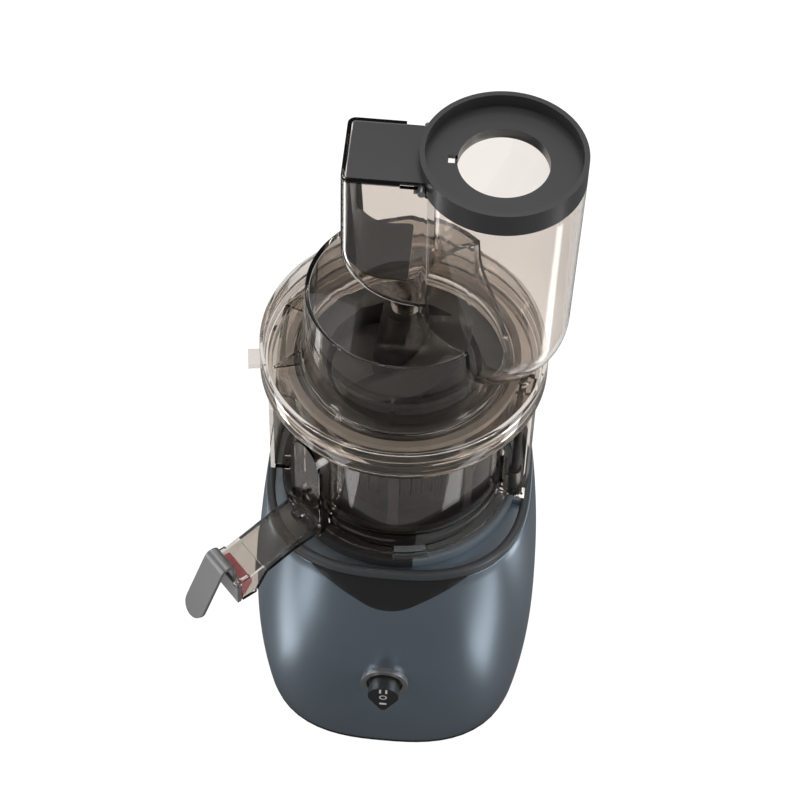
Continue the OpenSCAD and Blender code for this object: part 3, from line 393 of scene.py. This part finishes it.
def finish(name, look):
    # an opaque finish: colour, roughness and grain from the group, the rest plain
    look = {**plainLook, **look}
    material, tree, shader = newMaterial(name)
    group = groupNode(tree, finishGroup, {
        "Color": (*look["color"], 1), "Cloud Scale": look["cloudScale"],
        "Cloud Amount": look["cloud"], "Grain Scale": look["grainScale"],
        "Roughness": look["rough"], "Roughness Spread": look["roughSpread"],
    })
    bump = tree.nodes.new("ShaderNodeBump")
    bump.inputs["Strength"].default_value = look["bump"]
    bump.inputs["Distance"].default_value = look["bumpDepth"]
    tree.links.new(group.outputs["Color"], shader.inputs["Base Color"])
    tree.links.new(group.outputs["Roughness"], shader.inputs["Roughness"])
    tree.links.new(group.outputs["Height"], bump.inputs["Height"])
    tree.links.new(bump.outputs["Normal"], shader.inputs["Normal"])
    shader.inputs["Metallic"].default_value = look["metallic"]
    shader.inputs["Coat Weight"].default_value = look["coat"]
    shader.inputs["Coat Roughness"].default_value = look["coatRough"]
    shader.inputs["Specular IOR Level"].default_value = look["specular"]
    shader.inputs["Subsurface Weight"].default_value = look["subsurface"]
    shader.inputs["Subsurface Scale"].default_value = look["subsurfaceScale"]
    return material


def clearMoulding(name, look):
    # smoked clear plastic: a glass shader whose shadow lets the light through
    material, tree, shader = newMaterial(name)
    group = groupNode(tree, finishGroup, {
        "Color": (*look["color"], 1), "Cloud Scale": smokeCloud["scale"],
        "Cloud Amount": smokeCloud["amount"], "Roughness": look["rough"],
        "Roughness Spread": smokeCloud["roughSpread"],
    })
    color = group.outputs["Color"]
    # painted shade: a dark band above a height on the hopper, along the mouth of its pocket
    if "bandFrom" in look:
        shadeBand = groupNode(tree, shadeBandGroup, {
            "From": look["bandFrom"] * mm, "To": (look["bandFrom"] + smokeCloud["bandSoft"]) * mm,
        })
        color = mixColors(tree, shadeBand.outputs["Mask"], color, (*look["bandColor"], 1))
    tree.links.new(color, shader.inputs["Base Color"])
    tree.links.new(group.outputs["Roughness"], shader.inputs["Roughness"])
    shader.inputs["Transmission Weight"].default_value = 1.0
    shader.inputs["IOR"].default_value = look["ior"]
    through = tree.nodes.new("ShaderNodeBsdfTransparent")
    through.inputs["Color"].default_value = (*look["shadow"], 1)
    path = tree.nodes.new("ShaderNodeLightPath")
    blend = tree.nodes.new("ShaderNodeMixShader")
    tree.links.new(path.outputs["Is Shadow Ray"], blend.inputs["Fac"])
    tree.links.new(shader.outputs["BSDF"], blend.inputs[1])
    tree.links.new(through.outputs["BSDF"], blend.inputs[2])
    tree.links.new(blend.outputs["Shader"], tree.nodes["Material Output"].inputs["Surface"])
    return material


def splitColorAndShade(name, look):
    # one piece in two colours side by side; on the seat the dark side is partly painted shade
    material, tree, shader = newMaterial(name)
    ramp = tree.nodes.new("ShaderNodeMapRange")
    ramp.inputs["From Min"].default_value = (look["edge"] - look["soft"]) * mm
    ramp.inputs["From Max"].default_value = (look["edge"] + look["soft"]) * mm
    tree.links.new(placeAxis(tree, "X"), ramp.inputs["Value"])
    left, right = [groupNode(tree, finishGroup, {
        "Color": (*look[side]["color"], 1), "Roughness": look[side]["rough"],
    }) for side in ("left", "right")]
    mask = ramp.outputs["Result"]
    color = mixColors(tree, mask, left.outputs["Color"], right.outputs["Color"])
    metal = mathNode(tree, "MULTIPLY", mask, look["metallic"])
    tree.links.new(color, shader.inputs["Base Color"])
    tree.links.new(metal.outputs[0], shader.inputs["Metallic"])
    tree.links.new(right.outputs["Roughness"], shader.inputs["Roughness"])
    return material


materials = {slot: finish(slot + "Finish", look) for slot, look in looks.items()}
materials["clear"] = clearMoulding("clearSmoke", clearLook)
materials["hopper"] = clearMoulding("clearSmokePale", hopperLook)
materials["seat"] = splitColorAndShade("seatFinish", seatLook)

for node, piece in nodes.items():
    dress(piece, materials[slotOf[node]])
print("materials made")

# Stage: pale floor, white behind the object, soft studio lamps
studio = {
    "floorSize": 12.0, "floorColor": (0.16, 0.16, 0.16), "floorRough": 0.9,
    "floorGlow": 0.97, "floorGloss": 0.04,
    "worldCamera": 1.0, "worldLight": 0.25, "worldGloss": 0.22,
}
lamps = {
    "leftStrip": {"at": (-1.15, -0.62, 0.55), "aim": 0.2, "size": (0.22, 1.1), "power": 8},
    "rightStrip": {"at": (1.15, -0.62, 0.55), "aim": 0.2, "size": (0.22, 1.1), "power": 8},
    "topSoft": {"at": (0.0, 0.5, 1.9), "aim": 0.3, "size": (1.2, 1.2), "power": 5},
    "backSoft": {"at": (0.3, 1.6, 1.2), "aim": 0.3, "size": (1.6, 0.8), "power": 4},
    "edgeLine": {"at": (0.0, 0.25, 1.9), "aim": 0.3, "size": (1.3, 0.14), "power": 7},
}
# these lie just above the floor and shine straight up
floorLampZ = 0.004
floorLamps = {
    "leftLow": {"at": (-0.20, -0.10), "size": (0.16, 0.05), "power": 0.042},
    "rightLow": {"at": (0.20, -0.13), "size": (0.16, 0.06), "power": 0.05},
    "leftSide": {"at": (-0.38, 0.03), "size": (0.22, 0.07), "power": 0.16},
    "rightSide": {"at": (0.38, 0.0), "size": (0.22, 0.08), "power": 0.16},
    "leftFront": {"at": (-0.19, -0.20), "size": (0.08, 0.08), "power": 0.04},
}


def makeFloor():
    clearSelection()
    bpy.ops.mesh.primitive_plane_add(size=studio["floorSize"], location=(0, 0, 0))
    floor = bpy.context.object
    floor.name = "floor"
    material, tree, shader = newMaterial("paleFloor")
    shader.inputs["Base Color"].default_value = (*studio["floorColor"], 1)
    shader.inputs["Roughness"].default_value = studio["floorRough"]
    shader.inputs["Specular IOR Level"].default_value = 0.0
    # it glows for the camera and through clear plastic, and hardly in reflections
    path = tree.nodes.new("ShaderNodeLightPath").outputs
    seen = mathNode(tree, "MAXIMUM", path["Is Camera Ray"], path["Is Transmission Ray"])
    reflected = mathNode(tree, "MULTIPLY", path["Is Glossy Ray"], studio["floorGloss"])
    strength = mathNode(tree, "MULTIPLY_ADD", seen.outputs[0], studio["floorGlow"],
                        reflected.outputs[0])
    glow = tree.nodes.new("ShaderNodeEmission")
    tree.links.new(strength.outputs[0], glow.inputs["Strength"])
    both = tree.nodes.new("ShaderNodeAddShader")
    tree.links.new(shader.outputs["BSDF"], both.inputs[0])
    tree.links.new(glow.outputs["Emission"], both.inputs[1])
    tree.links.new(both.outputs["Shader"], tree.nodes["Material Output"].inputs["Surface"])
    dress(floor, material)


def makeWorld():
    world = bpy.data.worlds.new("studioWorld")
    bpy.context.scene.world = world
    world.use_nodes = True
    tree = world.node_tree
    tree.nodes.clear()

    def background(strength):
        node = tree.nodes.new("ShaderNodeBackground")
        node.inputs["Color"].default_value = (1, 1, 1, 1)
        node.inputs["Strength"].default_value = strength
        return node.outputs[0]

    def mixShaders(mask, first, second):
        node = tree.nodes.new("ShaderNodeMixShader")
        tree.links.new(mask, node.inputs["Fac"])
        tree.links.new(first, node.inputs[1])
        tree.links.new(second, node.inputs[2])
        return node.outputs[0]

    path = tree.nodes.new("ShaderNodeLightPath").outputs
    seen = mathNode(tree, "MAXIMUM", path["Is Camera Ray"], path["Is Transmission Ray"])
    light = mixShaders(path["Is Glossy Ray"], background(studio["worldLight"]),
                       background(studio["worldGloss"]))
    surface = mixShaders(seen.outputs[0], light, background(studio["worldCamera"]))
    tree.links.new(surface, tree.nodes.new("ShaderNodeOutputWorld").inputs["Surface"])


def makeLamp(name, lamp, at, aim):
    data = bpy.data.lights.new(name, "AREA")
    data.shape = "RECTANGLE"
    data.size, data.size_y = lamp["size"]
    data.energy = lamp["power"]
    piece = bpy.data.objects.new(name, data)
    bpy.context.scene.collection.objects.link(piece)
    piece.location = at
    piece.rotation_mode = "QUATERNION"
    piece.rotation_quaternion = (Vector(aim) - Vector(at)).to_track_quat("-Z", "Y")


makeFloor()
makeWorld()
for name, lamp in lamps.items():
    makeLamp(name, lamp, lamp["at"], (0, 0, lamp["aim"]))
for name, lamp in floorLamps.items():
    makeLamp(name, lamp, (*lamp["at"], floorLampZ), (*lamp["at"], 1))
print("stage and lamps set")


# Forms that the pieces share
def loft(name, rings, closed=False):
    # a circle primitive is set on the first ring and extruded through the others
    clearSelection()
    bpy.ops.mesh.primitive_circle_add(vertices=len(rings[0]), radius=1, fill_type="NOTHING")
    piece = named(name)
    bpy.ops.object.mode_set(mode="EDIT")
    mesh = bmesh.from_edit_mesh(piece.data)
    mark = mesh.verts.layers.int.new("step")
    mesh.verts.ensure_lookup_table()
    for step, vert in enumerate(sorted(mesh.verts, key=turnOf)):
        vert[mark] = step
        vert.co = rings[0][step]
    bmesh.update_edit_mesh(piece.data)
    for ring in rings[1:] + (rings[:1] if closed else []):
        bpy.ops.mesh.extrude_edges_move()
        mesh = bmesh.from_edit_mesh(piece.data)
        mark = mesh.verts.layers.int["step"]
        for vert in mesh.verts:
            if vert.select:
                vert.co = ring[vert[mark]]
        bmesh.update_edit_mesh(piece.data)
    bpy.ops.mesh.select_all(action="SELECT")
    if closed:
        bpy.ops.mesh.remove_doubles(threshold=weld["loftDoubles"])
    pointOut()
    leaveEdit()
    return piece


def prism(name, outline, nearY, deep):
    # a flat face with an outline of (x, z), extruded along y
    clearSelection()
    bpy.ops.mesh.primitive_circle_add(vertices=len(outline), radius=1, fill_type="NGON")
    piece = named(name)
    for vert, (x, z) in zip(sorted(piece.data.vertices, key=turnOf), outline):
        vert.co = (x * mm, nearY * mm, z * mm)
    editAll(piece)
    bpy.ops.mesh.extrude_region_move(TRANSFORM_OT_translate={"value": (0, deep * mm, 0)})
    pointOut()
    leaveEdit()
    return piece


def lathe(name, outline, centreX, around):
    # outline of (radius, height) from the axis round to the axis, turned about a vertical axis
    rings = []
    for radius, z in outline[1:-1]:
        ring = []
        for step in range(around):
            angle = 2 * math.pi * step / around
            ring.append(((centreX + radius * math.cos(angle)) * mm,
                         radius * math.sin(angle) * mm, z * mm))
        rings.append(ring)
    piece = loft(name, rings)
    editNone(piece, "VERT")
    bpy.ops.mesh.select_non_manifold()
    bpy.ops.mesh.fill_holes(sides=0)
    pointOut()
    leaveEdit()
    return piece


def drum(name, radius, depth, centre, turn=upright, around=96):
    clearSelection()
    bpy.ops.mesh.primitive_cylinder_add(vertices=around, radius=radius * mm, depth=depth * mm,
                                        location=[c * mm for c in centre], rotation=turn)
    piece = named(name)
    placeInMesh(piece)
    return piece


def block(name, low, high):
    clearSelection()
    middle = [(a + b) / 2 * mm for a, b in zip(low, high)]
    size = [(b - a) * mm for a, b in zip(low, high)]
    bpy.ops.mesh.primitive_cube_add(size=1, location=middle, scale=size)
    piece = named(name)
    placeInMesh(piece)
    return piece


def turned(piece, degrees):
    piece.data.transform(Matrix.Rotation(math.radians(degrees), 4, "Z"))
    return piece


def cut(piece, tool, how="DIFFERENCE"):
    modifier = piece.modifiers.new("cut", "BOOLEAN")
    modifier.operation = how
    modifier.solver = "EXACT"
    modifier.object = tool
    applyModifiers(piece)
    bpy.data.objects.remove(tool, do_unlink=True)


# Motor base: the same rounded square plan as the CAD shell, in smooth rings
base = {
    "halfWide": 92.0, "height": 204.0, "wideZ": 85.68, "foot": 0.93, "top": 0.908, "power": 2.7,
    "lowCurve": 2, "highCurve": 1.8, "shellFrom": 6.0, "shellTo": 198.0, "wall": 2.6,
    "panelTip": 168.0, "panelRadius": 24.0, "panelAngle": 37.0, "panelGap": 0.25,
    "panelOver": 5.0, "panelDeep": 120.0, "panelSteps": 16,
    "bezelRadius": 15.5, "knobZ": 91.0, "bezelCut": 100.0,
    "glandRadius": 7.0, "glandZ": 26.0, "glandCut": 60.0, "glandAround": 48, "wallY": 90.0,
    "edge": 0.35, "edgeSegments": 2, "edgeAngle": 50, "smooth": 40,
    "around": 144, "levels": 24,
}
# the curve is (inwards, height) from the rim's side to its flat top
rim = {"wide": 5.0, "low": 198.0, "curve": [(0, 202.4), (0.4, 203.4), (1.3, 204)], "smooth": 50}


def planReach(angle):
    power = base["power"]
    return (abs(math.cos(angle)) ** power + abs(math.sin(angle)) ** power) ** (-1 / power)


def halfWidth(z):
    wideZ = base["wideZ"]
    if z < wideZ:
        shrink = (1 - base["foot"]) * ((wideZ - z) / wideZ) ** base["lowCurve"]
    else:
        share = (z - wideZ) / (base["height"] - wideZ)
        shrink = (1 - base["top"]) * share ** base["highCurve"]
    return base["halfWide"] * (1 - shrink)


def planRing(half, z):
    ring = []
    for step in range(base["around"]):
        angle = 2 * math.pi * step / base["around"]
        reach = half * planReach(angle) * mm
        ring.append((reach * math.cos(angle), reach * math.sin(angle), z * mm))
    return ring


def panelCutter(name, grow):
    # the shield outline of the front panel as a prism through the front wall
    slope, steps = math.radians(base["panelAngle"]), base["panelSteps"]
    radius, tip = base["panelRadius"], base["panelTip"] - grow
    outline = []
    for step in range(steps + 1):
        angle = -slope + 2 * slope * step / steps
        outline.append((radius * math.sin(angle), tip + radius * (1 - math.cos(angle))))
    topZ = base["shellTo"] + base["panelOver"]
    edgeX = outline[-1][0] + (topZ - outline[-1][1]) / math.tan(slope) + grow
    outline += [(edgeX, topZ), (-edgeX, topZ)]
    return prism(name, outline, -base["panelDeep"], base["panelDeep"])


def makeBase():
    low, high, count = base["shellFrom"], base["shellTo"], base["levels"]
    levels = [low + (high - low) * step / count for step in range(count + 1)]
    outside = [planRing(halfWidth(z), z) for z in levels]
    inside = [planRing(halfWidth(z) - base["wall"], z) for z in reversed(levels)]
    shell = loft("baseShell", outside + inside, closed=True)
    panel = ownCopy(shell, "frontPanel")
    cut(shell, panelCutter("shieldCut", base["panelGap"]))
    cut(shell, drum("knobCut", base["bezelRadius"], base["bezelCut"],
                    (0, -base["wallY"], base["knobZ"]), lying))
    cut(shell, drum("glandCut", base["glandRadius"], base["glandCut"],
                    (0, base["wallY"], base["glandZ"]), lying, base["glandAround"]))
    cut(panel, panelCutter("shieldKeep", 0), how="INTERSECT")
    for piece in (shell, panel):
        roundEdges(piece, base["edge"], base["edgeSegments"], base["edgeAngle"])
        smoothByAngle(piece, base["smooth"])
    standFor(shell, "base_shell", materials["shell"])
    standFor(panel, "front_panel", materials["panel"])


def makeRim():
    outer = base["halfWide"] * base["top"]
    inner = outer - rim["wide"]
    profile = [(outer, rim["low"])] + [(outer - inwards, z) for inwards, z in rim["curve"]]
    profile += [(inner + inwards, z) for inwards, z in reversed(rim["curve"])]
    profile.append((inner, rim["low"]))
    piece = loft("baseRim", [planRing(half, z) for half, z in profile], closed=True)
    smoothByAngle(piece, rim["smooth"])
    standFor(piece, "rim_trim", materials["rim"])


makeBase()
makeRim()
print("base made")

# Hopper: a round tube with a ball foot beside the drum, and the gate's pocket on its left
hopper = {
    "x": 51.0, "top": 484.0, "ballZ": 368.0, "around": 192, "arc": 20, "smooth": 35,
    "outFoot": 45.0, "outTop": 46.4, "inFoot": 42.6, "inTop": 44.0, "tubeOver": 6.0,
    "pocketLeft": -36.5, "pocketRight": 18.0, "pocketTop": 493.0, "pocketWide": 48.0,
    "pocketOver": 5.0, "wall": 2.4, "bendX": 9.5, "bendZ": 435.0, "bend": 46.0,
    "bendSteps": 28, "corner": 4.5, "inCorner": 2.2, "cornerSegments": 5,
    "drumLow": 313.0, "drumHigh": 375.6, "drumFoot": 60.1, "drumTop": 56.6,
    "ringRoom": 47.0, "ringDeep": 20.0,
}
# the hinge of the flip lid: its hole, and the room above it that the lid turns in
hinge = {
    "x": 8.0, "z": 489.0, "hole": 2.26, "around": 32, "halfLong": 48.0,
    "roomLeft": 12.0, "roomLow": 1.4, "roomHigh": 20.0, "sideRight": 22.0,
}


def tubeForm(name, foot, head, top):
    ballZ, arc = hopper["ballZ"], hopper["arc"]
    outline = [(0, ballZ - foot)]
    for step in range(1, arc + 1):
        angle = math.radians(-90 + 90 * step / arc)
        outline.append((foot * math.cos(angle), ballZ + foot * math.sin(angle)))
    if top > hopper["top"]:
        outline.append((head, hopper["top"]))
    outline += [(head, top), (0, top)]
    return lathe(name, outline, hopper["x"], hopper["around"])


def pocketForm(name, inset, top, corner):
    # J outline as a prism, rounded along its left and lower edge
    half = hopper["pocketWide"] / 2 - inset
    left, right = hopper["pocketLeft"] + inset, hopper["pocketRight"]
    bend, steps = hopper["bend"] - inset, hopper["bendSteps"]
    outline = [(right, top), (left, top)]
    for step in range(steps + 1):
        angle = math.radians(180 + 90 * step / steps)
        outline.append((hopper["bendX"] + bend * math.cos(angle),
                        hopper["bendZ"] + bend * math.sin(angle)))
    outline.append((right, hopper["bendZ"] - bend))
    piece = prism(name, outline, -half, 2 * half)
    editNone(piece, "EDGE")
    mesh = bmesh.from_edit_mesh(piece.data)
    near = 0.01
    for edge in mesh.edges:
        ends = [vert.co / mm for vert in edge.verts]
        inOneFace = abs(ends[0].y - ends[1].y) < near
        onTop = all(end.z > top - near for end in ends)
        onRight = all(end.x > right - near for end in ends)
        edge.select_set(inOneFace and not onTop and not onRight)
    bmesh.update_edit_mesh(piece.data)
    bpy.ops.mesh.bevel(offset=corner * mm, segments=hopper["cornerSegments"], profile=0.5,
                       clamp_overlap=False)
    leaveEdit()
    return piece


def makeHopper():
    top, around = hopper["top"], hopper["around"]
    shell = tubeForm("hopperShape", hopper["outFoot"], hopper["outTop"], top)
    cut(shell, pocketForm("pocketOut", 0, hopper["pocketTop"], hopper["corner"]), how="UNION")
    cut(shell, tubeForm("tubeIn", hopper["inFoot"], hopper["inTop"], top + hopper["tubeOver"]))
    cut(shell, pocketForm("pocketIn", hopper["wall"], hopper["pocketTop"] + hopper["pocketOver"],
                          hopper["inCorner"]))
    low, high = hopper["drumLow"], hopper["drumHigh"]
    drumOutline = [(0, low), (hopper["drumFoot"], low), (hopper["drumTop"], high), (0, high)]
    cut(shell, lathe("drumIn", drumOutline, 0, around))
    ringDeep = hopper["ringDeep"]
    ringCentre = (hopper["x"], 0, top + ringDeep / 2)
    cut(shell, drum("ringRoom", hopper["ringRoom"], ringDeep, ringCentre, upright, around))
    x, z, far, high = hinge["x"], hinge["z"], hinge["halfLong"], hinge["z"] + hinge["roomHigh"]
    cut(shell, block("hingeRoom", (x - hinge["roomLeft"], -far, z + hinge["roomLow"]),
                     (x + hinge["roomLeft"], far, high)))
    cut(shell, block("hingeSide", (x - hinge["hole"], -far, z),
                     (x + hinge["sideRight"], far, high)))
    cut(shell, drum("hingeHole", hinge["hole"], 2 * far, (x, 0, z), lying, hinge["around"]))
    smoothByAngle(shell, hopper["smooth"])
    standFor(shell, "hopper", materials["hopper"])


makeHopper()
print("hopper made")

# Drum lid: one turned profile with round edges, then ribs, tabs, pin boss and the hopper's seat
lid = {
    "profile": [(0, 375.6), (56.6, 375.6), (59.82, 318), (60.9, 318), (60.9, 310.8),
                (63.3, 310.8), (63.3, 318), (83.9, 318), (83.9, 311), (86.5, 311), (86.5, 331),
                (83.9, 331), (83.9, 322), (62.27, 322), (59.0, 378), (0, 378)],
    "edge": 0.6, "edgeSteps": 3, "edgeShare": 0.4, "around": 192, "smooth": 35,
    "ribFoot": 60.9, "ribTop": 57.9, "ribZ": 321.0, "ribWide": 2.0,
    "boss": 9.0, "bossLow": 363.6, "bossHigh": 376.6, "bossAround": 64,
    "pin": 5.06, "pinHigh": 374.6, "pinUnder": 4.0, "seatFit": 0.06,
    "tabTurn": 188, "tab": ((85.5, -6, 315), (93.5, 6, 319)),
    "columnTurn": -8, "columnTab": ((68.9, -4.6, 317), (78.1, 4.6, 321)),
}
# each rib: its direction in degrees, the x of its foot and the height of its top
ribs = [(268, 64.27, 375.0), (160, 80.2, 352.8), (196, 80.2, 338.8), (100, 80.2, 352.8)]


def roundProfile(points, radius, steps):
    # each inner corner becomes a short curve; the first and last points stay
    out = [points[0]]
    for before, corner, after in zip(points, points[1:], points[2:]):
        arms = []
        for end in (before, after):
            dx, dz = end[0] - corner[0], end[1] - corner[1]
            length = math.hypot(dx, dz)
            reach = min(radius, length * lid["edgeShare"])
            arms.append((corner[0] + dx / length * reach, corner[1] + dz / length * reach))
        for step in range(steps + 1):
            t = step / steps
            out.append(tuple((1 - t) ** 2 * a + 2 * t * (1 - t) * c + t ** 2 * b
                             for a, c, b in zip(arms[0], corner, arms[1])))
    return out + [points[-1]]


def rib(name, degrees, footX, topZ):
    # a thin three sided plate standing on the flange against the drum
    outline = [(lid["ribFoot"], lid["ribZ"]), (footX, lid["ribZ"]), (lid["ribTop"], topZ)]
    return turned(prism(name, outline, -lid["ribWide"] / 2, lid["ribWide"]), degrees)


def makeLid():
    outline = roundProfile(lid["profile"], lid["edge"], lid["edgeSteps"])
    piece = lathe("lidShape", outline, 0, lid["around"])
    for number, (degrees, footX, topZ) in enumerate(ribs):
        cut(piece, rib("rib" + str(number), degrees, footX, topZ), how="UNION")
    cut(piece, turned(block("gripTab", *lid["tab"]), lid["tabTurn"]), how="UNION")
    cut(piece, turned(block("rodTab", *lid["columnTab"]), lid["columnTurn"]), how="UNION")
    cut(piece, tubeForm("hopperSeat", hopper["outFoot"] + lid["seatFit"],
                        hopper["outTop"] + lid["seatFit"], hopper["top"]))
    around, height = lid["bossAround"], lid["bossHigh"] - lid["bossLow"]
    middle = (0, 0, lid["bossLow"] + height / 2)
    cut(piece, drum("boss", lid["boss"], height, middle, upright, around), how="UNION")
    depth = lid["pinHigh"] - lid["bossLow"] + lid["pinUnder"]
    middle = (0, 0, lid["pinHigh"] - depth / 2)
    cut(piece, drum("pinHole", lid["pin"], depth, middle, upright, around))
    smoothByAngle(piece, lid["smooth"])
    standFor(piece, "lid", materials["clear"])


makeLid()
print("lid made")

# Mouldings: the CAD shapes with their small edge radii in millimetres, 0 for none
mouldings = {
    "bowl": 0.5, "spout": 0.35, "bowl_seat": 0.4, "knob_bezel": 0.4, "knob": 0.5,
    "flip_lid": 0.6, "strainer": 0.2, "spout_cap": 0.5, "cap_seal": 0.3, "cord_gland": 0.4,
    "push_rod": 0.3, "brush_holder": 0.2, "auger": 0, "auger_bush": 0.2, "lid_seal": 0,
    "feet": 0.3, "bottom_plate": 0.3,
}
ownMaterial = {"bowl_seat": "seat"}
plainSmooth = 32
# the flip lid's cover has round upright corners left of pocketEnd, and a gate below gateTop, painted darker than
# the charcoal as shade inside the hopper's pocket
cover = {"halfWide": 21.0, "corner": 2.1, "segments": 4, "pocketEnd": 3.0, "gateTop": 489.9}
knobFront = -0.9      # a face whose normal has a lower y is the knob's marked front


def roundCorners(piece):
    # outline edges of the cover at its two sides
    editNone(piece, "EDGE")
    mesh = bmesh.from_edit_mesh(piece.data)
    near, upwards = 0.05, 0.5
    found = 0
    for edge in mesh.edges:
        if len(edge.link_faces) != 2:
            continue
        ends = [vert.co / mm for vert in edge.verts]
        if any(abs(abs(end.y) - cover["halfWide"]) > near or end.x > cover["pocketEnd"]
               for end in ends):
            continue
        across = sorted(abs(face.normal.y) for face in edge.link_faces)
        rise = max(face.normal.z for face in edge.link_faces)
        if across[0] < near and across[1] > 1 - near and rise < upwards:
            edge.select_set(True)
            found += 1
    bmesh.update_edit_mesh(piece.data)
    if found:
        bpy.ops.mesh.bevel(offset=cover["corner"] * mm, segments=cover["segments"], profile=0.5,
                           clamp_overlap=False)
    leaveEdit()
    print("corners rounded", piece.name, found)


def secondMaterial(piece, name, test):
    piece.data.materials.append(materials[name])
    for face in piece.data.polygons:
        if test(face):
            face.material_index = 1


def onGate(face):
    return face.center.x < cover["pocketEnd"] * mm and face.center.z < cover["gateTop"] * mm


def onKnobSide(face):
    return face.normal.y > knobFront


def makeMoulding(node, radius):
    words = node.split("_")
    name = words[0] + "".join(word.capitalize() for word in words[1:]) + "Shape"
    if node == "flip_lid":
        piece = mergedCopy(node, name, softEdge["smooth"])
        joinFlatFaces(piece)
        roundCorners(piece)
        roundEdges(piece, radius, softEdge["segments"], softEdge["angle"])
        smoothByAngle(piece, softEdge["smooth"])
    elif radius:
        piece = roundedCopy(node, name, radius)
    else:
        piece = mergedCopy(node, name, plainSmooth)
    standFor(piece, node, materials[ownMaterial.get(node, slotOf[node])])
    if node == "flip_lid":
        # the gate inside the hopper's pocket gets painted shade, a darker charcoal
        secondMaterial(piece, "gate", onGate)
    if node == "knob":
        secondMaterial(piece, "knobSide", onKnobSide)


for node, radius in mouldings.items():
    makeMoulding(node, radius)
print("mouldings smoothed")

springSmooth = 40


def makeSpring():
    # a welded steel copy of the spring under the interlock rod stands for it
    spring = mergedCopy("rod_spring", "rodSpring", springSmooth)
    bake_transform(spring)
    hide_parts("rod_spring")
    dress(spring, materials["steel"])


makeSpring()
print("spring made")

# Marks on the knob's face: plain bars and a ring, as generic signs
marks = {
    "faceY": -103.99, "deep": 0.3, "around": 32, "holeDeep": 4.0,
    "barZ": 97.0, "barGap": 2.0, "barSize": (1.3, 4.6), "lowZ": 82.0, "lowSize": (4.6, 2.0),
    "ringZ": 89.8, "ringRadius": 2.5, "ringLine": 0.8,
}


def bar(name, x, z, size):
    wide, tall, near = size[0] / 2, size[1] / 2, marks["faceY"]
    return block(name, (x - wide, near, z - tall), (x + wide, near + marks["deep"], z + tall))


def makeMarks():
    gap, radius, around = marks["barGap"], marks["ringRadius"], marks["around"]
    pieces = [bar("markLeft", -gap, marks["barZ"], marks["barSize"]),
              bar("markRight", gap, marks["barZ"], marks["barSize"]),
              bar("markLow", 0, marks["lowZ"], marks["lowSize"])]
    middle = (0, marks["faceY"] + marks["deep"] / 2, marks["ringZ"])
    ring = drum("markRing", radius, marks["deep"], middle, lying, around)
    hole = drum("markHole", radius - marks["ringLine"], marks["holeDeep"], middle, lying, around)
    cut(ring, hole)
    for piece in pieces + [ring]:
        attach(piece, bodyOf["knob"])
        dress(piece, materials["mark"])


makeMarks()
print("marks made")

# Inner wall of the feed hole, below the tray of the flip lid
feed = {
    "x": 51.0, "radius": 25.5, "wall": 1.6, "deep": 7.0, "trayDeep": 8.0, "under": 0.2,
    "notch": 6.0, "notchLong": 12.0, "around": 128,
    "edge": 0.3, "edgeSegments": 2, "edgeAngle": 40, "smooth": 35,
}


def makeFeedWall():
    lidTop = max(vert.co.z for vert in nodes["flip_lid"].data.vertices) / mm
    radius, deep, around = feed["radius"], feed["deep"], feed["around"]
    middle = (feed["x"], 0, lidTop - feed["trayDeep"] - feed["under"] - deep / 2)
    wall = drum("feedWall", radius + feed["wall"], deep, middle, upright, around)
    cut(wall, drum("feedInside", radius, deep * 2, middle, upright, around))
    notchX, half = feed["x"] - radius, (feed["notchLong"] / 2, feed["notch"] / 2)
    cut(wall, block("notch", (notchX - half[0], -half[1], middle[2] - deep),
                    (notchX + half[0], half[1], middle[2] + deep)))
    roundEdges(wall, feed["edge"], feed["edgeSegments"], feed["edgeAngle"])
    smoothByAngle(wall, feed["smooth"])
    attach(wall, bodyOf["flip_lid"])
    dress(wall, materials["charcoal"])


makeFeedWall()
print("feed wall made")
